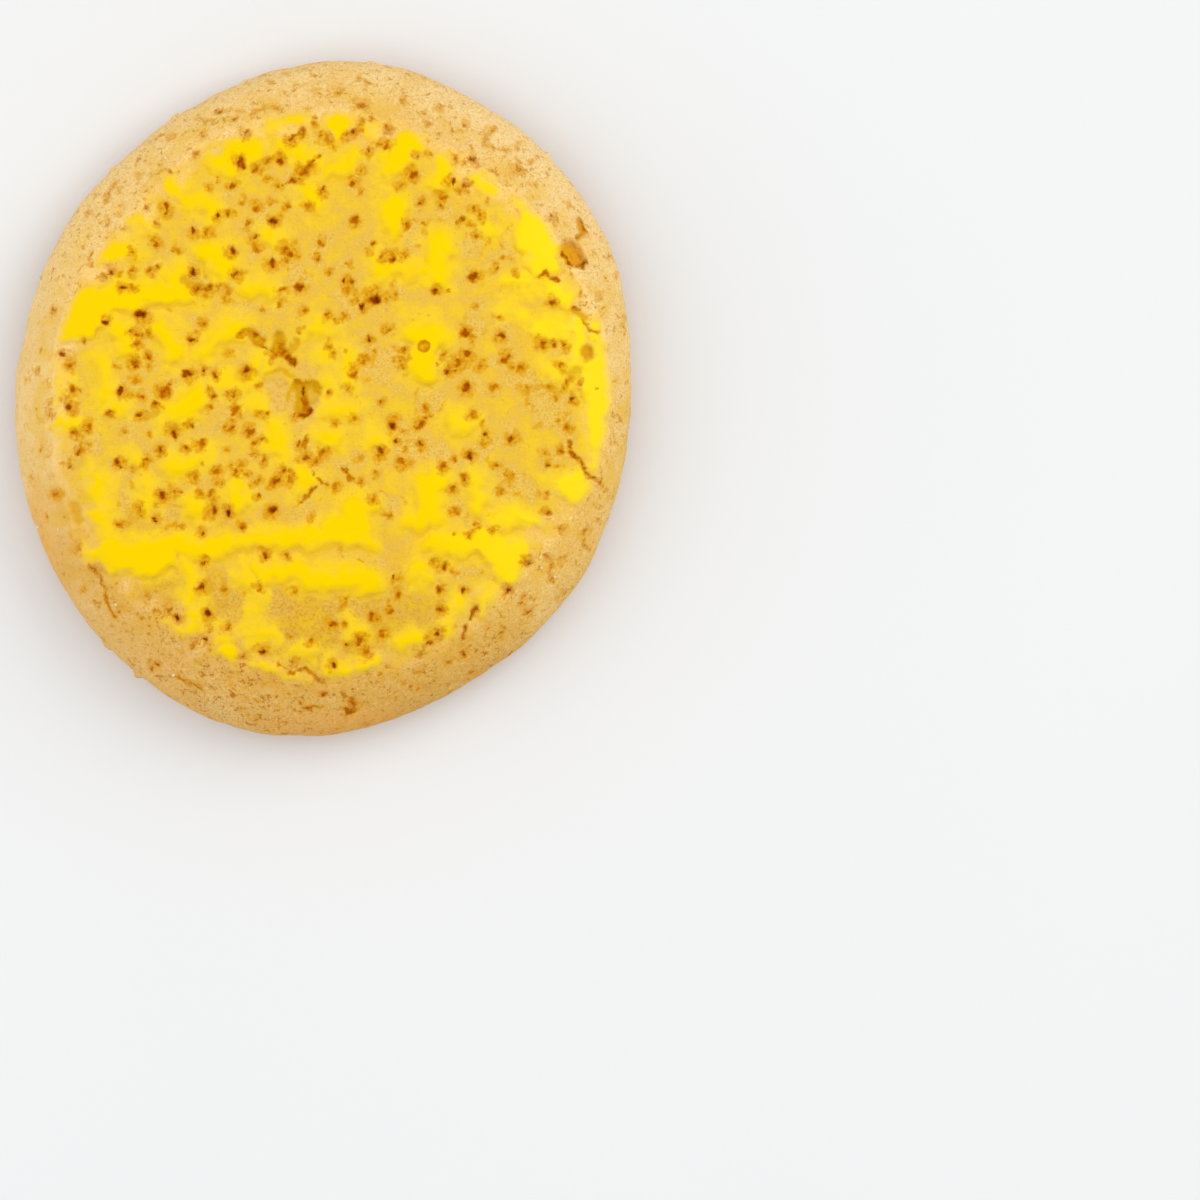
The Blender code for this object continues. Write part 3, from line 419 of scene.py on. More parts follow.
def swells(points, kinds):
    return sum(height * noise(points, size, seed) for size, height, seed in kinds)


def flat_swells(x, y, kinds):
    return swells(np.column_stack([x, y, np.zeros_like(x)]), kinds)


def warped(x, y, kinds):
    """The places x, y moved about by the swells, so that what is drawn there gets uneven edges."""
    return x + flat_swells(x, y, kinds), y + flat_swells(y + 50, x - 50, kinds)


def step_up(value, low, high):
    """0 below low, 1 above high, and an even curve between them."""
    share = np.clip((value - low) / (high - low), 0, 1)
    return share * share * (3 - 2 * share)


def outline(turn):
    """The biscuit's radius in the direction turn, an angle in radians."""
    waves = sum(
        share * np.cos(count * (turn - math.radians(crest)))
        for count, share, crest in OUTLINE_WAVES
    )
    direction, half_width, rise = LOWER_RIGHT_BULGE
    off = np.abs((np.degrees(turn) - direction + 180) % 360 - 180)
    return MEAN_RADIUS * (1 + waves + rise * (1 - step_up(off, 0, half_width)))


def dome(share):
    """Height of the smooth dome at a share of the way out to the outline."""
    rise = (1 - np.clip(share, 0, 1) ** DOME_POWER) ** (1 / SHOULDER_POWER)
    return WIDEST_LEVEL + (DOME_HEIGHT - WIDEST_LEVEL) * rise


def share_out(x, y):
    """Share of the way from the middle to the outline."""
    return np.hypot(x, y) / outline(np.arctan2(y, x))


def crust(x, y):
    """Height of the baked top without pits, tears or grain."""
    share = share_out(x, y)
    return dome(share) + flat_swells(x, y, TOP_SWELLS) * (1 - step_up(share, 0.8, 1.0))


def iced_radius(turn):
    """Radius of the glaze's ragged edge in the direction turn."""
    directions, radii = np.transpose(ICED_EDGE)
    radius = np.interp(np.degrees(turn), directions, radii, period=360)
    return radius + flat_swells(radius * np.cos(turn), radius * np.sin(turn), ICED_WAVES)


def iced_edge(x, y):
    """How far inside the glaze's edge each point lies."""
    return iced_radius(np.arctan2(y, x)) - np.hypot(x, y)


def line_distance(x, y, start, end):
    """Distance of each point from the line between start and end."""
    along = np.subtract(end, start)
    share = ((x - start[0]) * along[0] + (y - start[1]) * along[1]) / (along @ along)
    share = np.clip(share, 0, 1)
    return np.hypot(x - start[0] - share * along[0], y - start[1] - share * along[1])


def oval_reach(x, y, at_x, at_y, along, across, slant):
    """Distance of each point from an oval's middle, 1 on the oval itself."""
    turn = math.radians(slant)
    dx, dy = x - at_x, y - at_y
    u = dx * math.cos(turn) + dy * math.sin(turn)
    v = dy * math.cos(turn) - dx * math.sin(turn)
    return np.hypot(u / along, v / across)


def run_depth(x, y):
    """How far inside a thick run each point lies: counted faster in a wide, crisper run, and plainly."""
    x, y = warped(x, y, RUN_WARPS)
    depth = np.full_like(x, -9.0)
    shore = np.full_like(x, -9.0)
    for x1, y1, x2, y2, half_width in RUNS:
        inside = half_width - line_distance(x, y, (x1, y1), (x2, y2))
        depth = np.maximum(depth, inside * half_width)
        shore = np.maximum(shore, inside)
    return depth, shore


def scattered(random, count, spacing, placed, allowed):
    """Random places on allowed ground, kept apart from each other and from the places in placed."""
    tries = random.uniform(-1.1 * MEAN_RADIUS, 1.1 * MEAN_RADIUS, (PIT_TRIES, 2))
    found = []
    for place in tries[allowed(*tries.T)]:
        if np.hypot(*(np.array(placed) - place).T).min() < spacing:
            continue
        placed.append(tuple(place))
        found.append(tuple(place))
        if len(found) == count:
            break
    return found


def small_hollows(random, places, sizes):
    """A small oval pit at each of the places, of random size and slant, with smaller ones beside some."""
    pits = []

    def add(place, radius):
        stretch = random.uniform(*PIT_STRETCH)
        deep = radius * random.uniform(*PIT_DEEPNESS)
        pits.append((*place, radius * stretch, radius, random.uniform(*PIT_SLANT), deep))

    for place in places:
        radius = random.uniform(*sizes)
        add(place, radius)
        while random.random() < COMPANY:
            turn = random.uniform(0, 2 * math.pi)
            painted_light_top_left = radius + random.uniform(*COMPANY_GAPS)
            beside = (place[0] + painted_light_top_left * math.cos(turn), place[1] + painted_light_top_left * math.sin(turn))
            add(beside, radius * random.uniform(*COMPANY_SIZES))
    return pits


def all_pits():
    """The pits of the iced round and the pores of the bare rim."""
    random = np.random.default_rng(PIT_SEED)
    placed = [pit[:2] for pit in MAIN_PITS] + list(SMALL_PITS + BROKEN_SPOTS)

    def open_film(x, y):
        return (iced_edge(x, y) > INSIDE_ICED_EDGE) & (run_depth(x, y)[0] < 0.0)

    def bare_rim(x, y):
        return (iced_edge(x, y) < BARE_FROM_EDGE) & (share_out(x, y) < RIM_LIMIT)

    strewn = scattered(random, STREWN_PITS, PIT_SPACING, placed, open_film)
    pores = scattered(random, RIM_PORES, PORE_SPACING, placed, bare_rim)
    pits = [(*pit[:5], MAIN_DEEPNESS * pit[5]) for pit in MAIN_PITS]
    pits += small_hollows(random, SMALL_PITS, PIT_SIZES)
    pits += small_hollows(random, strewn, STREWN_SIZES)
    rim = small_hollows(random, pores, PORE_SIZES) + small_hollows(random, RIM_FLECKS, FLECK_SIZES)
    return pits, rim


def hollows(x, y, pits, pores=(), grow=0.0):
    """Depth of the pits, pores and tears, how dark each point is, partly browner crumb and partly painted
    shade in the openings, and how far the nearest opening is.
    """
    torn = flat_swells(x, y, TEAR_BREAKS)
    halo_x, halo_y = warped(x, y, HALO_WARPS)
    x, y = warped(x, y, PIT_WARPS)
    depth = np.zeros_like(x)
    dark = np.zeros_like(x)
    gap = np.full_like(x, np.inf)

    def add(outside, opening, deep, halo, out_of_halo):
        """Both distances are from the opening's edge, and opening is its half width."""
        nonlocal depth, dark, gap
        outside = outside - grow
        gap = np.minimum(gap, outside)
        into = np.clip(-outside / (WALL * opening), 0, 1)
        dish = np.clip(1 - out_of_halo / halo, 0, 1)
        darkest = min(DARKEST, FAINTEST + SIZE_DARKENS * opening + DEPTH_DARKENS * deep)
        inner = CORE_LEVEL + (darkest - CORE_LEVEL) * into
        depth = np.maximum(depth, HALO_DIP * dish**2 + deep * step_up(into, -0.15, 0.9))
        dark = np.maximum(dark, np.where(outside < 0, inner, CORE_LEVEL * dish))

    for kinds, halo in ((pits, HALO), (pores, PORE_HALO)):
        for at_x, at_y, along, across, slant, deep in kinds:
            reach = oval_reach(x, y, at_x, at_y, along, across, slant)
            aside = HALO_SHIFT * along * np.array([math.cos(slant * 7), math.sin(slant * 7)])
            around = np.hypot(halo_x - at_x - aside[0], halo_y - at_y - aside[1])
            around -= HALO_STARTS * (along + across)
            size = min(along, across)
            add((reach - 1) * math.sqrt(along * across), size, deep, halo + HALO_GROWS * size, around)
    for half_width, deep, run in TEARS:
        deep = deep * TEAR_DEEPNESS
        outside = chain_distance(x, y, run) - half_width + torn
        add(outside, half_width, deep, TEAR_HALO + half_width, outside)
    return depth, dark, gap


def read_points(mesh):
    flat = np.empty(len(mesh.vertices) * 3, np.float32)
    mesh.vertices.foreach_get("co", flat)
    return flat.reshape(-1, 3).astype(float)


def write_points(mesh, points):
    mesh.vertices.foreach_set("co", (points * MM).astype(np.float32).ravel())
    mesh.update()


def mesh_of(name, shape):
    mesh = bpy.data.meshes.new(name)
    shape.to_mesh(mesh)
    shape.free()
    return mesh


def write_attributes(mesh, **layers):
    for name, values in layers.items():
        layer = mesh.attributes.new(name, "FLOAT", "POINT")
        layer.data.foreach_set("value", np.asarray(values, np.float32))


def chain_distance(x, y, points):
    """Distance of each point from the lines that join the points of a chain."""
    return np.min([line_distance(x, y, *ends) for ends in itertools.pairwise(points)], axis=0)


def broken_ground(x, y):
    """Depth, darkness (partly painted shade), share of ochre and share of pale crumb of the ground in
    STROKES.
    """
    rough = flat_swells(x, y, TEAR_BREAKS)
    x, y = warped(x, y, STROKE_WARPS)
    ground = np.zeros((4, len(x)))
    for half_width, *values, points in STROKES:
        share = 1 - step_up((chain_distance(x, y, points) + 0.7 * rough) / half_width, *STROKE_EDGE)
        ground += share * (np.array(values)[:, None] - ground)
    depth, dark, ochre, pale = ground
    return depth + 0.5 * rough * ochre, np.clip(dark - 1.3 * rough * ochre, 0, 1.2), ochre, pale


def add_object(name, data):
    made = bpy.data.objects.new(name, data)
    bpy.context.scene.collection.objects.link(made)
    return made


def add_piece(name, mesh, material):
    made = add_object(name, mesh)
    mesh.materials.append(material)
    mesh.shade_smooth()
    return made


def even_ball(cells):
    """A cube of even cells blown up to a ball of radius 1."""
    cube = bmesh.new()
    bmesh.ops.create_cube(cube, size=2)
    bmesh.ops.subdivide_edges(cube, edges=list(cube.edges), cuts=cells - 1, use_grid_fill=True)
    mesh = mesh_of("crumb", cube)
    points = np.tan(read_points(mesh) * math.pi / 4)
    points /= np.linalg.norm(points, axis=1, keepdims=True)
    return mesh, points


def section():
    """The section from the top's middle to the base's middle: shares of the radius, heights, crowding."""
    quarter = np.linspace(0, math.pi / 2, SECTION_POINTS)
    upper_share = np.sin(quarter) ** (2 / DOME_POWER)
    lower_share = FOOT_SHARE + (1 - FOOT_SHARE) * np.cos(quarter[1:])
    base_share = FOOT_SHARE * np.linspace(1, 0, SECTION_POINTS)[1:]
    shares = np.concatenate([upper_share, lower_share, base_share])
    lower_height = WIDEST_LEVEL * (1 - np.sin(quarter[1:]))
    heights = np.concatenate([dome(upper_share), lower_height, np.zeros_like(base_share)])
    crowding = np.where(shares < HIDDEN_SHARE, HIDDEN_CROWDING, BARE_CROWDING)
    crowding[-len(base_share):] = BASE_CROWDING
    return shares, heights, crowding


def nub_reach(turn, height):
    """How far the loose crumbs of the edge stand out."""
    reach = np.zeros_like(turn)
    for direction, level, half_width, out in NUBS:
        off = (turn - math.radians(direction) + math.pi) % (2 * math.pi) - math.pi
        painted_light_top_left = np.hypot(off * MEAN_RADIUS, height - level) / half_width
        reach = np.maximum(reach, out * (1 - step_up(painted_light_top_left, 0.2, 1.0)))
    return reach


def add_crumb(pits, pores, material):
    """The biscuit itself, finest on its bare rim and side, with the hidden top just under the glaze."""
    mesh, ball = even_ball(CRUMB_CELLS)
    shares, heights, crowding = section()
    run = np.hypot(np.diff(shares) * MEAN_RADIUS, np.diff(heights))
    middle = (shares[1:] + shares[:-1]) / 2
    covered = np.concatenate([[0], np.cumsum(run * middle * crowding[1:])])
    turn = np.arctan2(ball[:, 1], ball[:, 0])
    level = (1 - ball[:, 2]) / 2 * covered[-1]
    share = np.interp(level, covered, shares)
    height = np.interp(level, covered, heights)
    x = share * outline(turn) * np.cos(turn)
    y = share * outline(turn) * np.sin(turn)

    on_top = level < covered[SECTION_POINTS - 1]
    bare_depth, dark, _ = hollows(x, y, pits, pores)
    wide_depth, _, _ = hollows(x, y, pits, grow=SEAT_MARGIN)
    hollow_depth, hollow_dark, ochre, _ = broken_ground(x, y)
    under = step_up(iced_edge(x, y), *UNDER_GLAZE)
    depth = (bare_depth + hollow_depth) * (1 - under)
    depth += (wide_depth + np.maximum(hollow_depth, 0) * 1.3 + SEAT_DEPTH) * under
    height = np.where(on_top, crust(x, y) - depth, height)
    dark = np.where(on_top, np.maximum(dark, hollow_dark) * (1 - under), 0)

    points = np.column_stack([x, y, height])
    side = step_up(share, *SIDE_SHARES) * step_up(height, 0.0, FOOT_RISE)
    bulge = swells(points, SIDE_SWELLS) * side + nub_reach(turn, height)
    grain = swells(points, CRUMB_GRAIN) * step_up(height, 0.0, 0.6) * (1 - under)
    outward = np.column_stack([np.cos(turn), np.sin(turn)])
    points[:, :2] += outward * (bulge + grain * side)[:, None]
    points[:, 2] += grain * (1 - side) * on_top
    write_points(mesh, points)
    write_attributes(
        mesh,
        dark=dark,
        ochre=np.where(on_top, ochre * (1 - under), 0),
        stain=step_up(iced_edge(x, y), *STAIN_REACH) * on_top,
        baked=1 - step_up(nearest_oval(points[:, 0], points[:, 1], BAKED_SPOTS), *BAKED_EDGE),
    )
    piece = add_piece("crumb", mesh, material)
    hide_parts("biscuit")
    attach(piece, "root")


def disc_places(u, v):
    """Places on a disc of radius 1 for the places u, v of a square grid from -1 to 1."""
    wide = np.abs(u) > np.abs(v)
    radius = np.where(wide, u, v)
    safe_u = np.where(u == 0, 1e-9, u)
    safe_v = np.where(v == 0, 1e-9, v)
    turn = np.where(wide, math.pi / 4 * v / safe_u, math.pi / 2 - math.pi / 4 * u / safe_v)
    return radius * np.cos(turn), radius * np.sin(turn)


def nearest_oval(x, y, ovals):
    """Distance of each point from the middle of the nearest oval, 1 on its uneven edge."""
    x, y = warped(x, y, RUN_WARPS)
    return np.min([oval_reach(x, y, *oval) for oval in ovals], axis=0)


def island_shares(x, y):
    """How far each point is in an island where the crumb shows through, and in the broken ring round one."""
    breaks = step_up(flat_swells(x, y, RING_BREAKS), -0.3, 0.5)
    reach = nearest_oval(x, y, ISLANDS)
    ring = step_up(reach, *RING_INNER_EDGE) * (1 - step_up(reach, *RING_OUTER_EDGE))
    return 1 - step_up(reach, *ISLAND_EDGE), ring * breaks


def add_glaze(pits, material):
    """The glaze: a thin film that lines the pits, with thick runs on it, closed with an underside."""
    sheet = bmesh.new()
    bmesh.ops.create_grid(sheet, x_segments=GLAZE_CELLS, y_segments=GLAZE_CELLS, size=1)
    extruded = bmesh.ops.extrude_face_region(sheet, geom=list(sheet.faces), use_keep_orig=True)
    sheet.verts.index_update()
    raised = [item.index for item in extruded["geom"] if isinstance(item, bmesh.types.BMVert)]
    bmesh.ops.recalc_face_normals(sheet, faces=list(sheet.faces))
    mesh = mesh_of("glaze", sheet)

    grid = read_points(mesh)
    under = np.ones(len(grid), bool)
    under[raised] = False
    unit_x, unit_y = disc_places(grid[:, 0], grid[:, 1])
    radius = iced_radius(np.arctan2(unit_y, unit_x))
    x, y = unit_x * radius, unit_y * radius

    edge = iced_edge(x, y)
    inside_run, shore = run_depth(x, y)
    # Painted shade along the lower side of each thick run
    lee = run_depth(x, y + RUN_SHADE_REACH)[0] - inside_run
    thick = step_up(inside_run, *RUN_SOFTNESS) * step_up(edge, 0.0, 0.9)
    depth, dark, gap = hollows(x, y, pits)
    hollow_depth, hollow_dark, ochre, pale = broken_ground(x, y)
    bubble_depth, bubble_dark = burst_bubbles(x, y)
    lift = (FILM + RUN_HEIGHT * thick) * step_up(edge, 0.0, 1.3)
    lift -= EDGE_DIP * (1 - step_up(edge, 0.0, 0.6))
    island, ring = island_shares(x, y)
    islands = island * (1 - thick)
    dark = np.maximum(dark, ISLAND_RING * ring * (1 - thick))
    top = crust(x, y) + lift - depth - hollow_depth - ISLAND_DIP * islands - bubble_depth
    top += flat_swells(x, y, FILM_GRAIN)
    skin = SKIN + 0.7 * RUN_HEIGHT * thick + 0.5 * (depth + np.maximum(hollow_depth, 0))
    height = np.where(under, top - skin, top)
    write_points(mesh, np.column_stack([x, y, height]))
    film = LEAST_FILM + CLEAR_FILM * step_up(gap, *FILM_CLEAR)
    film += PATCHY_FILM * flat_swells(x, y, FILM_PATCHES) - ISLAND_FILM * islands
    write_attributes(
        mesh,
        dark=np.maximum(np.maximum(dark, hollow_dark), bubble_dark),
        thick=inside_run, shore=shore, lee=lee, film=film, edge=edge,
        ochre=ochre, pale=pale, stain=np.ones(len(x)),
    )

    piece = add_piece("glaze", mesh, material)
    group = piece.vertex_groups.new(name="underside")
    group.add([int(index) for index in np.flatnonzero(under)], 1.0, "REPLACE")
    thin_out = piece.modifiers.new("Thin out the underside", "DECIMATE")
    thin_out.vertex_group = group.name
    thin_out.ratio = GLAZE_KEPT
    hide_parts("icing")
    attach(piece, "root")


def burst_bubbles(x, y):
    """Depth of the burst bubbles and how dark each is."""
    depth = np.zeros_like(x)
    dark = np.zeros_like(x)
    for at_x, at_y, radius in BUBBLES:
        reach = np.hypot(x - at_x, y - at_y) / radius
        depth = np.maximum(depth, 0.6 * radius * (1 - step_up(reach, 0.7, 1.1)))
        ring = 1 - step_up(np.abs(reach - 0.8), 0.1, 0.4)
        dark = np.maximum(dark, BUBBLE_DARK * np.maximum(ring, 0.8 * (reach < 0.8)))
    return depth, dark


class Value:
    """A node's output, with plain sums on it."""

    def __init__(self, nodes, socket):
        self.nodes = nodes
        self.socket = socket

    def __add__(self, other):
        return self.nodes.math("ADD", self, other)

    def __sub__(self, other):
        return self.nodes.math("SUBTRACT", self, other)

    def __mul__(self, other):
        return self.nodes.math("MULTIPLY", self, other)

    def or_more(self, other):
        return self.nodes.math("MAXIMUM", self, other)

    def span(self, low, high, new_low=0.0, new_high=1.0):
        """The value stretched evenly from one span to another, with soft ends."""
        ends = {"From Min": low, "From Max": high, "To Min": new_low, "To Max": new_high}
        return self.nodes.add("MapRange", "Result", {"Value": self, **ends}, interpolation_type="SMOOTHSTEP")


class Nodes:
    """A material's node tree, with short calls that add a node, join it up and give its output."""

    def __init__(self, name):
        self.material = bpy.data.materials.new(name)
        self.material.use_nodes = True
        self.tree = self.material.node_tree
        metres = self.add("TexCoord", "Object")
        self.place = self.add("VectorMath", 0, {0: metres, "Scale": 1 / MM}, operation="SCALE")

    def add(self, kind, output, inputs=None, **settings):
        """The output of a new node of the kind, with inputs by their names or numbers."""
        made = self.tree.nodes.new("ShaderNode" + kind)
        for name, value in settings.items():
            setattr(made, name, value)
        self.fill(made, inputs or {})
        return Value(self, made.outputs[output])

    def fill(self, node, inputs):
        """Joins outputs to the node's inputs, and writes plain numbers and colours into them."""
        for name, value in inputs.items():
            socket = node.inputs[name]
            if isinstance(value, Value):
                self.tree.links.new(value.socket, socket)
            elif socket.type == "RGBA":
                socket.default_value = (*value, 1)
            else:
                socket.default_value = value

    def attribute(self, name):
        return self.add("Attribute", "Fac", attribute_name=name)

    def axis(self, name):
        """One coordinate of the place, X, Y or Z, in millimetres."""
        return self.add("SeparateXYZ", name, {0: self.place})

    def math(self, operation, first, second):
        return self.add("Math", 0, {0: first, 1: second}, operation=operation)

    def noise(self, size, detail=2.0, roughness=0.5):
        """Noise whose swells are about one size across, from 0 to 1."""
        looks = {"Scale": 1 / size, "Detail": detail, "Roughness": roughness}
        return self.add("TexNoise", "Fac", {"Vector": self.place, **looks})

    def cells(self, size):
        """Distance from the middle of random cells about one size across with uneven borders."""
        uneven = self.add("TexNoise", "Color", {"Vector": self.place, "Scale": 2 / size})
        aside = {0: uneven, 1: (size / 2, size / 2, size / 2), 2: self.place}
        moved = self.add("VectorMath", 0, aside, operation="MULTIPLY_ADD")
        return self.add("TexVoronoi", "Distance", {"Vector": moved, "Scale": 1 / size})

    def mix(self, share, first, second):
        return self.add("Mix", 2, {"Factor": share, 6: first, 7: second}, data_type="RGBA")

    def layers(self, colour, *layers):
        """The colour with others laid over it in turn, each by its share."""
        for share, other in layers:
            colour = self.mix(share, colour, other)
        return colour

    def bump(self, height, distance):
        return self.add("Bump", "Normal", {"Distance": distance * MM, "Height": height})

    def surface(self, **looks):
        """The material, with the looks given to its shader."""
        named = {name.replace("_", " "): value for name, value in looks.items()}
        self.fill(self.tree.nodes["Principled BSDF"], named)
        return self.material


def plain(red, green, blue):
    """A colour given as the screen shows it, from 0 to 255, as the shader wants it."""
    shares = (red / 255, green / 255, blue / 255)
    return tuple(((c + 0.055) / 1.055) ** 2.4 if c > 0.04045 else c / 12.92 for c in shares)


def crumb_colour(nodes):
    """Pale sandy crumb with broad tints, painted light, painted shade and grain, how torn by pores it is, and
    how close to the lower edge.
    """
    x = nodes.axis("X")
    y = nodes.axis("Y")
    drift = nodes.noise(5.0, 3.0).span(0.2, 0.8, -4.0, 4.0)
    leftward = x + y * 0.25 + drift
    # Share of the way to the lower edge: the crumb there is darker and browner in painted shade, and has more
    # flecks
    lower_shade_and_flecks = (y + x * 0.3 + drift).span(-9.0, -31.0)
    # Zones at the top left and at the right that are paler in painted light
    painted_light_top_left = (y - x + drift).span(20.0, 46.0, 0.0, 0.6)
    painted_light_right = (x + y * 0.45 + drift).span(20.0, 32.0, 0.0, 0.9)
    calm = leftward.span(-31.0, -19.0, 0.40, 1.0)
    flecks = nodes.noise(1.3, 5.0, 0.72) + lower_shade_and_flecks * 0.015
    pores = nodes.cells(0.95).span(0.16, 0.07) * nodes.noise(2.6, 2.0).span(0.46, 0.58, 0.0, 0.6)
    marked = nodes.noise(3.2, 3.0).span(0.42, 0.56).or_more(lower_shade_and_flecks * 0.7)
    marks = nodes.noise(0.60, 5.0, 0.70).span(0.605, 0.635) * marked
    torn = pores.or_more(marks).or_more(flecks.span(0.61, 0.635)) * calm

    # The second colour of each pair is a darker copy for the lower edge: painted shade
    sand = nodes.mix(lower_shade_and_flecks, plain(222, 166, 70), plain(196, 136, 42))
    grains = nodes.mix(lower_shade_and_flecks, plain(255, 230, 164), plain(246, 206, 128))
    stain = nodes.mix(lower_shade_and_flecks, plain(238, 188, 60), plain(224, 170, 56))
    fleck = nodes.mix(lower_shade_and_flecks, plain(219, 146, 32), plain(202, 122, 18))
    pale = nodes.mix(nodes.noise(5.0, 3.0).span(0.35, 0.68), plain(242, 198, 118), plain(249, 214, 146))
    colour = nodes.layers(
        pale,
        (nodes.noise(1.3, 3.0).span(0.48, 0.72, 0.0, 0.60), plain(238, 184, 82)),
        # Painted light: paler at the top left and the right
        (painted_light_top_left.or_more(painted_light_right), plain(251, 217, 150)),
        # Painted light: paler towards the left
        (leftward.span(-20.0, -32.0, 0.0, 0.5), plain(242, 210, 148)),
        ((x - y + drift).span(26.0, 44.0, 0.0, 0.35), plain(232, 180, 66)),
        # Painted shade: darker towards the lower edge
        (lower_shade_and_flecks * 0.52, plain(220, 165, 70)),
        (nodes.noise(0.28, 4.0, 0.7).span(0.48, 0.64, 0.0, 0.70) * calm, sand),
        (nodes.noise(0.34, 2.0).span(0.54, 0.68, 0.0, 0.50) * calm, grains),
        (nodes.attribute("stain") * nodes.noise(2.4, 3.0).span(0.38, 0.66, 0.20, 0.75), stain),
        (torn * lower_shade_and_flecks.span(0.0, 1.0, 0.72, 0.95), fleck),
        (flecks.span(0.66, 0.71, 0.0, 0.8), plain(202, 118, 16)),
    )
    return colour, torn, lower_shade_and_flecks


def crumb_material():
    nodes = Nodes("crumb")
    crumb, torn, lower_shade_and_flecks = crumb_colour(nodes)
    level = nodes.axis("Z") + nodes.noise(6.0, 3.0).span(0.2, 0.8, -1.3, 1.3)
    base = nodes.mix(nodes.noise(2.2, 4.0, 0.6).span(0.35, 0.7), plain(186, 118, 46), plain(209, 150, 74))
    # Openings darker towards the lower edge: painted shade
    opened = nodes.attribute("dark") * lower_shade_and_flecks.span(0.0, 1.0, 1.0, 1.3)
    dark = opened + nodes.noise(0.30, 3.0, 0.6).span(0.3, 0.7, -0.22, 0.22)
    colour = nodes.layers(
        crumb,
        (level.span(5.5, 0.6, 0.0, 0.75), plain(205, 138, 52)),
        (level.span(0.9, -0.6, 0.0, 0.9), base),
        (nodes.attribute("baked") * 0.45, plain(238, 170, 74)),
        # Browns by darkness: browner crumb in the openings, partly painted shade there
        (dark.span(0.10, 0.50, 0.0, 0.75), plain(230, 170, 60)),
        (nodes.attribute("ochre"), plain(232, 160, 0)),
        (dark.span(0.60, 0.95), plain(212, 138, 22)),
        (dark.span(1.00, 1.25), plain(176, 100, 14)),
    )
    grain = nodes.noise(0.40, 4.0, 0.70) + torn * -0.15
    return nodes.surface(
        Base_Color=colour, Roughness=0.85, Specular_IOR_Level=0.15, Normal=nodes.bump(grain, 0.24),
    )


def glaze_material():
    """Icing that is brighter where it is thicker, over crumb that shows through where it is thin."""
    nodes = Nodes("glaze")
    bare, torn, lower_shade_and_flecks = crumb_colour(nodes)
    opened = nodes.attribute("dark")
    ochre = nodes.attribute("ochre")
    edge = nodes.attribute("edge")
    broad = nodes.noise(1.5, 4.0, 0.6).span(0.25, 0.75, -0.50, 0.50)
    thick = nodes.attribute("thick") + broad
    shore = nodes.attribute("shore") + broad
    patchy = nodes.noise(0.7, 3.0).span(0.25, 0.75, -0.32, 0.32)
    speckled = nodes.noise(0.30, 3.0, 0.6).span(0.30, 0.70, -0.34, 0.34)
    film = nodes.attribute("film") + patchy + speckled
    dark = opened + nodes.noise(0.42, 4.0, 0.66).span(0.30, 0.70, -0.19, 0.19) * opened.span(0.02, 0.30)
    run_side = thick.span(-1.1, -0.3) * thick.span(0.5, -0.1)
    specks = nodes.noise(0.50, 4.0, 0.65).span(0.60, 0.70, 0.0, 0.65)

    fine = nodes.noise(0.24, 3.0).span(0.42, 0.66, 0.0, 0.8)
    tan = nodes.mix(fine, plain(232, 191, 88), plain(211, 163, 60))
    lemon = nodes.mix(nodes.axis("X").span(8.0, 28.0), plain(246, 205, 2), plain(252, 218, 28))
    crumbled = nodes.mix(nodes.noise(0.4, 4.0, 0.7).span(0.4, 0.65), plain(230, 186, 92), plain(216, 168, 62))
    iced = nodes.layers(
        tan,
        (film.span(-0.10, 0.45), plain(227, 182, 70)),
        (film.span(0.40, 0.90), plain(232, 188, 54)),
        (film.span(0.85, 1.35), plain(237, 195, 45)),
        # Painted shade: the glaze is darker towards the lower edge, with darker mottling there
        (lower_shade_and_flecks * 0.40, plain(206, 150, 42)),
        (lower_shade_and_flecks * nodes.noise(0.38, 4.0, 0.65).span(0.46, 0.64, 0.0, 0.6), plain(190, 130, 26)),
        (shore.span(-1.6, 0.0, 0.0, 0.78), plain(241, 203, 45)),
        # Painted shade along the lower side of the thick runs
        (nodes.attribute("lee").span(0.15, 0.55, 0.0, 0.4) * run_side, plain(224, 166, 26)),
        (thick.span(-0.60, 1.10), lemon),
        (specks * thick.span(0.2, -0.5), plain(216, 160, 26)),
        # Browns by darkness: browner crumb in the openings, partly painted shade there
        (dark.span(0.06, 0.44, 0.0, 0.85), plain(220, 160, 22)),
        (ochre, plain(214, 162, 14)),
        (nodes.attribute("pale"), crumbled),
        (dark.span(0.42, 0.62, 0.0, 0.92), plain(204, 134, 8)),
        (dark.span(0.68, 0.88), plain(190, 102, 6)),
        (dark.span(0.95, 1.15), plain(160, 74, 4)),
    )
    torn_edge = nodes.layers(
        bare,
        # Browns by darkness: browner crumb in the openings, partly painted shade there
        (dark.span(0.20, 0.60, 0.0, 0.75), plain(206, 138, 34)),
        (ochre, plain(222, 160, 8)),
        (dark.span(0.65, 1.05), plain(164, 88, 10)),
    )
    ragged = edge + nodes.noise(2.2, 3.0).span(0.25, 0.75, -1.5, 1.5)
    kept = ragged.span(0.4, 4.0).or_more(thick.span(-1.0, 0.9)) * edge.span(0.10, 1.3)
    rough = nodes.noise(0.36, 4.0, 0.65) * thick.span(-0.5, 0.6, 1.0, 0.12)
    open_grain = torn * -0.3 * kept.span(0.6, 0.0)
    return nodes.surface(
        Base_Color=nodes.mix(kept, torn_edge, iced),
        Roughness=thick.span(-0.8, 0.5, 0.80, 0.46),
        Specular_IOR_Level=0.24,
        Specular_Tint=(1.0, 0.84, 0.0),
        Normal=nodes.bump(rough + open_grain, 0.08),
    )


def sugar_material():
    nodes = Nodes("sugar")
    tint = nodes.mix(nodes.noise(0.2), plain(240, 220, 182), plain(228, 200, 150))
    return nodes.surface(Base_Color=tint, Roughness=0.5, Specular_IOR_Level=0.1)


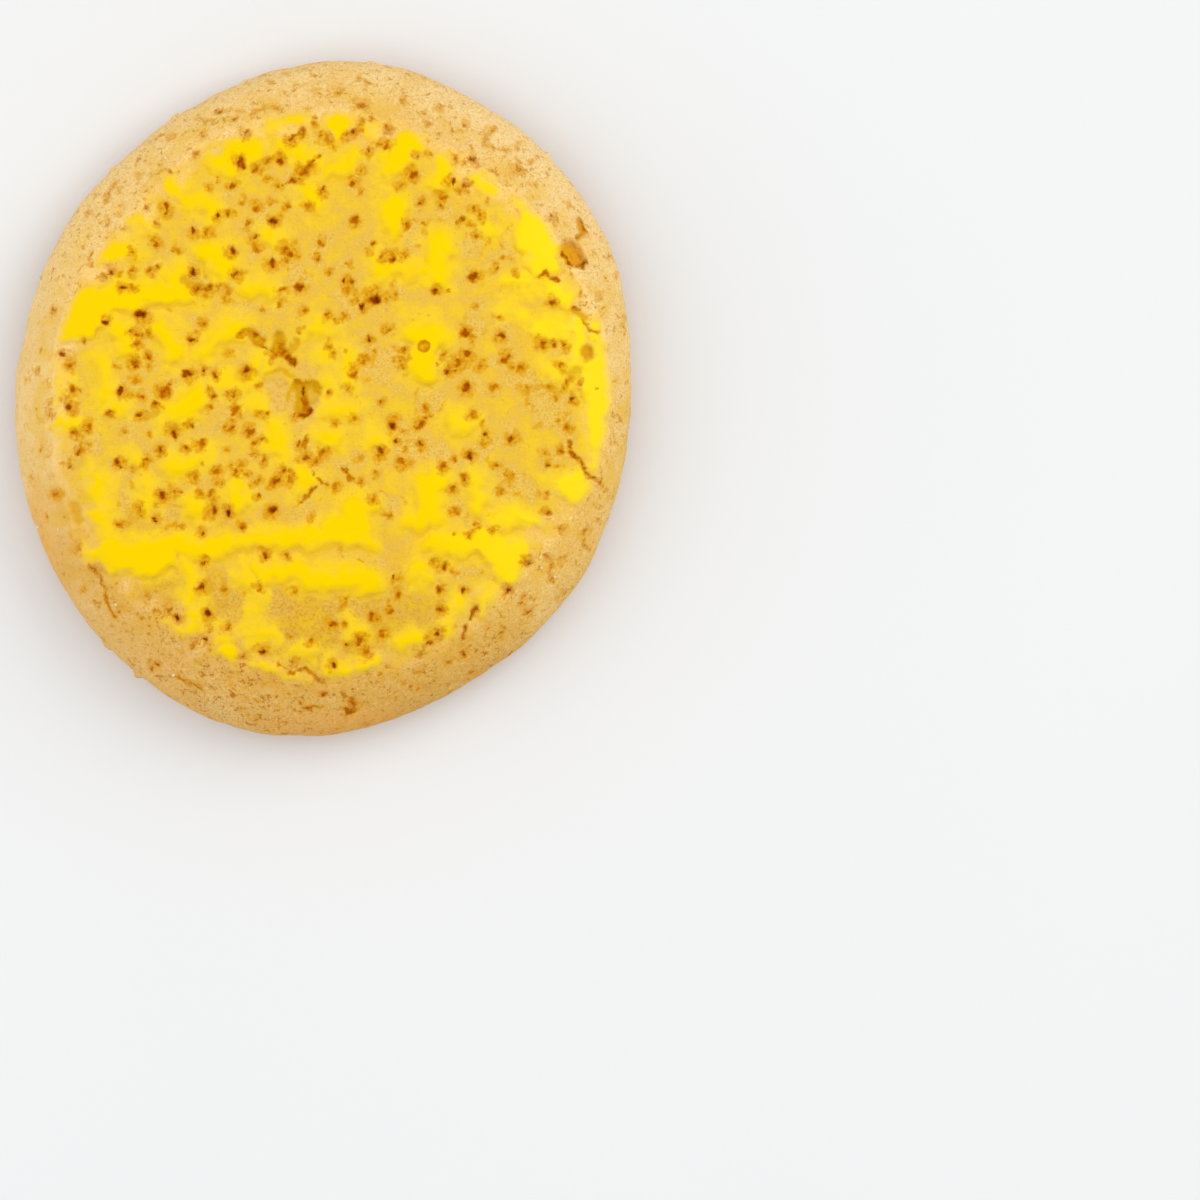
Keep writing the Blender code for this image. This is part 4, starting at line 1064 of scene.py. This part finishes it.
def add_sugar(material):
    """Sugar grains half sunk in the bare crust, as one mesh of small bevelled blocks."""
    random = np.random.default_rng(GRAIN_SEED)
    places = [np.array(place) for place in GRAIN_PLACES]
    while len(places) < GRAIN_COUNT:
        turn = random.uniform(0, 2 * math.pi)
        share = random.uniform(*GRAIN_SHARES)
        places.append(share * outline(turn) * np.array([math.cos(turn), math.sin(turn)]))
    grains = bmesh.new()
    for count, place in enumerate(places):
        size = random.uniform(*GRAIN_SIZES) if count >= len(GRAIN_PLACES) else GRAIN_SIZES[1]
        corners = bmesh.ops.create_cube(grains, size=1)["verts"]
        middle = np.array([*place, crust(*place[:, None])[0]])
        turns = random.uniform(0, math.pi, 3) * (1, -1, 1)
        spin = np.array(Euler(turns, "ZYX").to_matrix())
        stretch = size * random.uniform(*GRAIN_STRETCH, 3)
        for corner in corners:
            corner.co = (middle + spin @ (np.array(corner.co) * stretch)) * MM
    bmesh.ops.bevel(grains, geom=list(grains.edges), offset=GRAIN_BEVEL * MM, segments=1, affect="EDGES")
    piece = add_piece("sugar_grains", mesh_of("sugar_grains", grains), material)
    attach(piece, "root")


def add_floor():
    ground = bmesh.new()
    bmesh.ops.create_grid(ground, x_segments=1, y_segments=1, size=3)
    mesh = mesh_of("floor", ground)
    nodes = Nodes("floor")
    tint = nodes.mix(nodes.noise(60.0), (0.785, 0.795, 0.80), (0.81, 0.815, 0.82))
    nodes.surface(Base_Color=tint, Roughness=0.9)
    add_piece("floor", mesh, nodes.material)


def add_area_light(name, place, size, power, colour):
    """A square soft light at a place in millimetres that shines at the cookie."""
    data = bpy.data.lights.new(name, "AREA")
    data.size = size
    data.energy = power
    data.color = colour
    lamp = add_object(name, data)
    lamp.location = [value * MM for value in place]
    lamp.rotation_euler = (-lamp.location).to_track_quat("-Z", "Y").to_euler()


def add_lights():
    add_area_light("key", (640, 360, 620), 0.70, 3.15, (1.0, 0.99, 0.97))
    add_area_light("fill", (-640, -60, 420), 0.80, 1.8, (1.0, 1.0, 1.0))
    add_area_light("overhead", (0, 0, 1300), 1.6, 4.0, (0.98, 0.99, 1.0))
    world = bpy.data.worlds.new("studio")
    world.use_nodes = True
    glow = world.node_tree.nodes["Background"].inputs
    glow["Color"].default_value = (1.0, 1.0, 1.0, 1)
    glow["Strength"].default_value = 0.66
    bpy.context.scene.world = world


def add_camera():
    """Straight above, with the photograph's frame at the level of the cookie's widest edge."""
    data = bpy.data.cameras.new("camera")
    data.lens = LENS
    data.sensor_width = SENSOR
    camera = add_object("camera", data)
    distance = FRAME_WIDTH * LENS / SENSOR
    camera.location = (FRAME_MIDDLE[0] * MM, FRAME_MIDDLE[1] * MM, (distance + WIDEST_LEVEL) * MM)
    bpy.context.scene.camera = camera


def main():
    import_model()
    bpy.context.scene.view_settings.view_transform = "Standard"
    add_camera()
    pits, pores = all_pits()
    add_crumb(pits, pores, crumb_material())
    add_glaze(pits, glaze_material())
    add_sugar(sugar_material())
    add_floor()
    add_lights()


main()
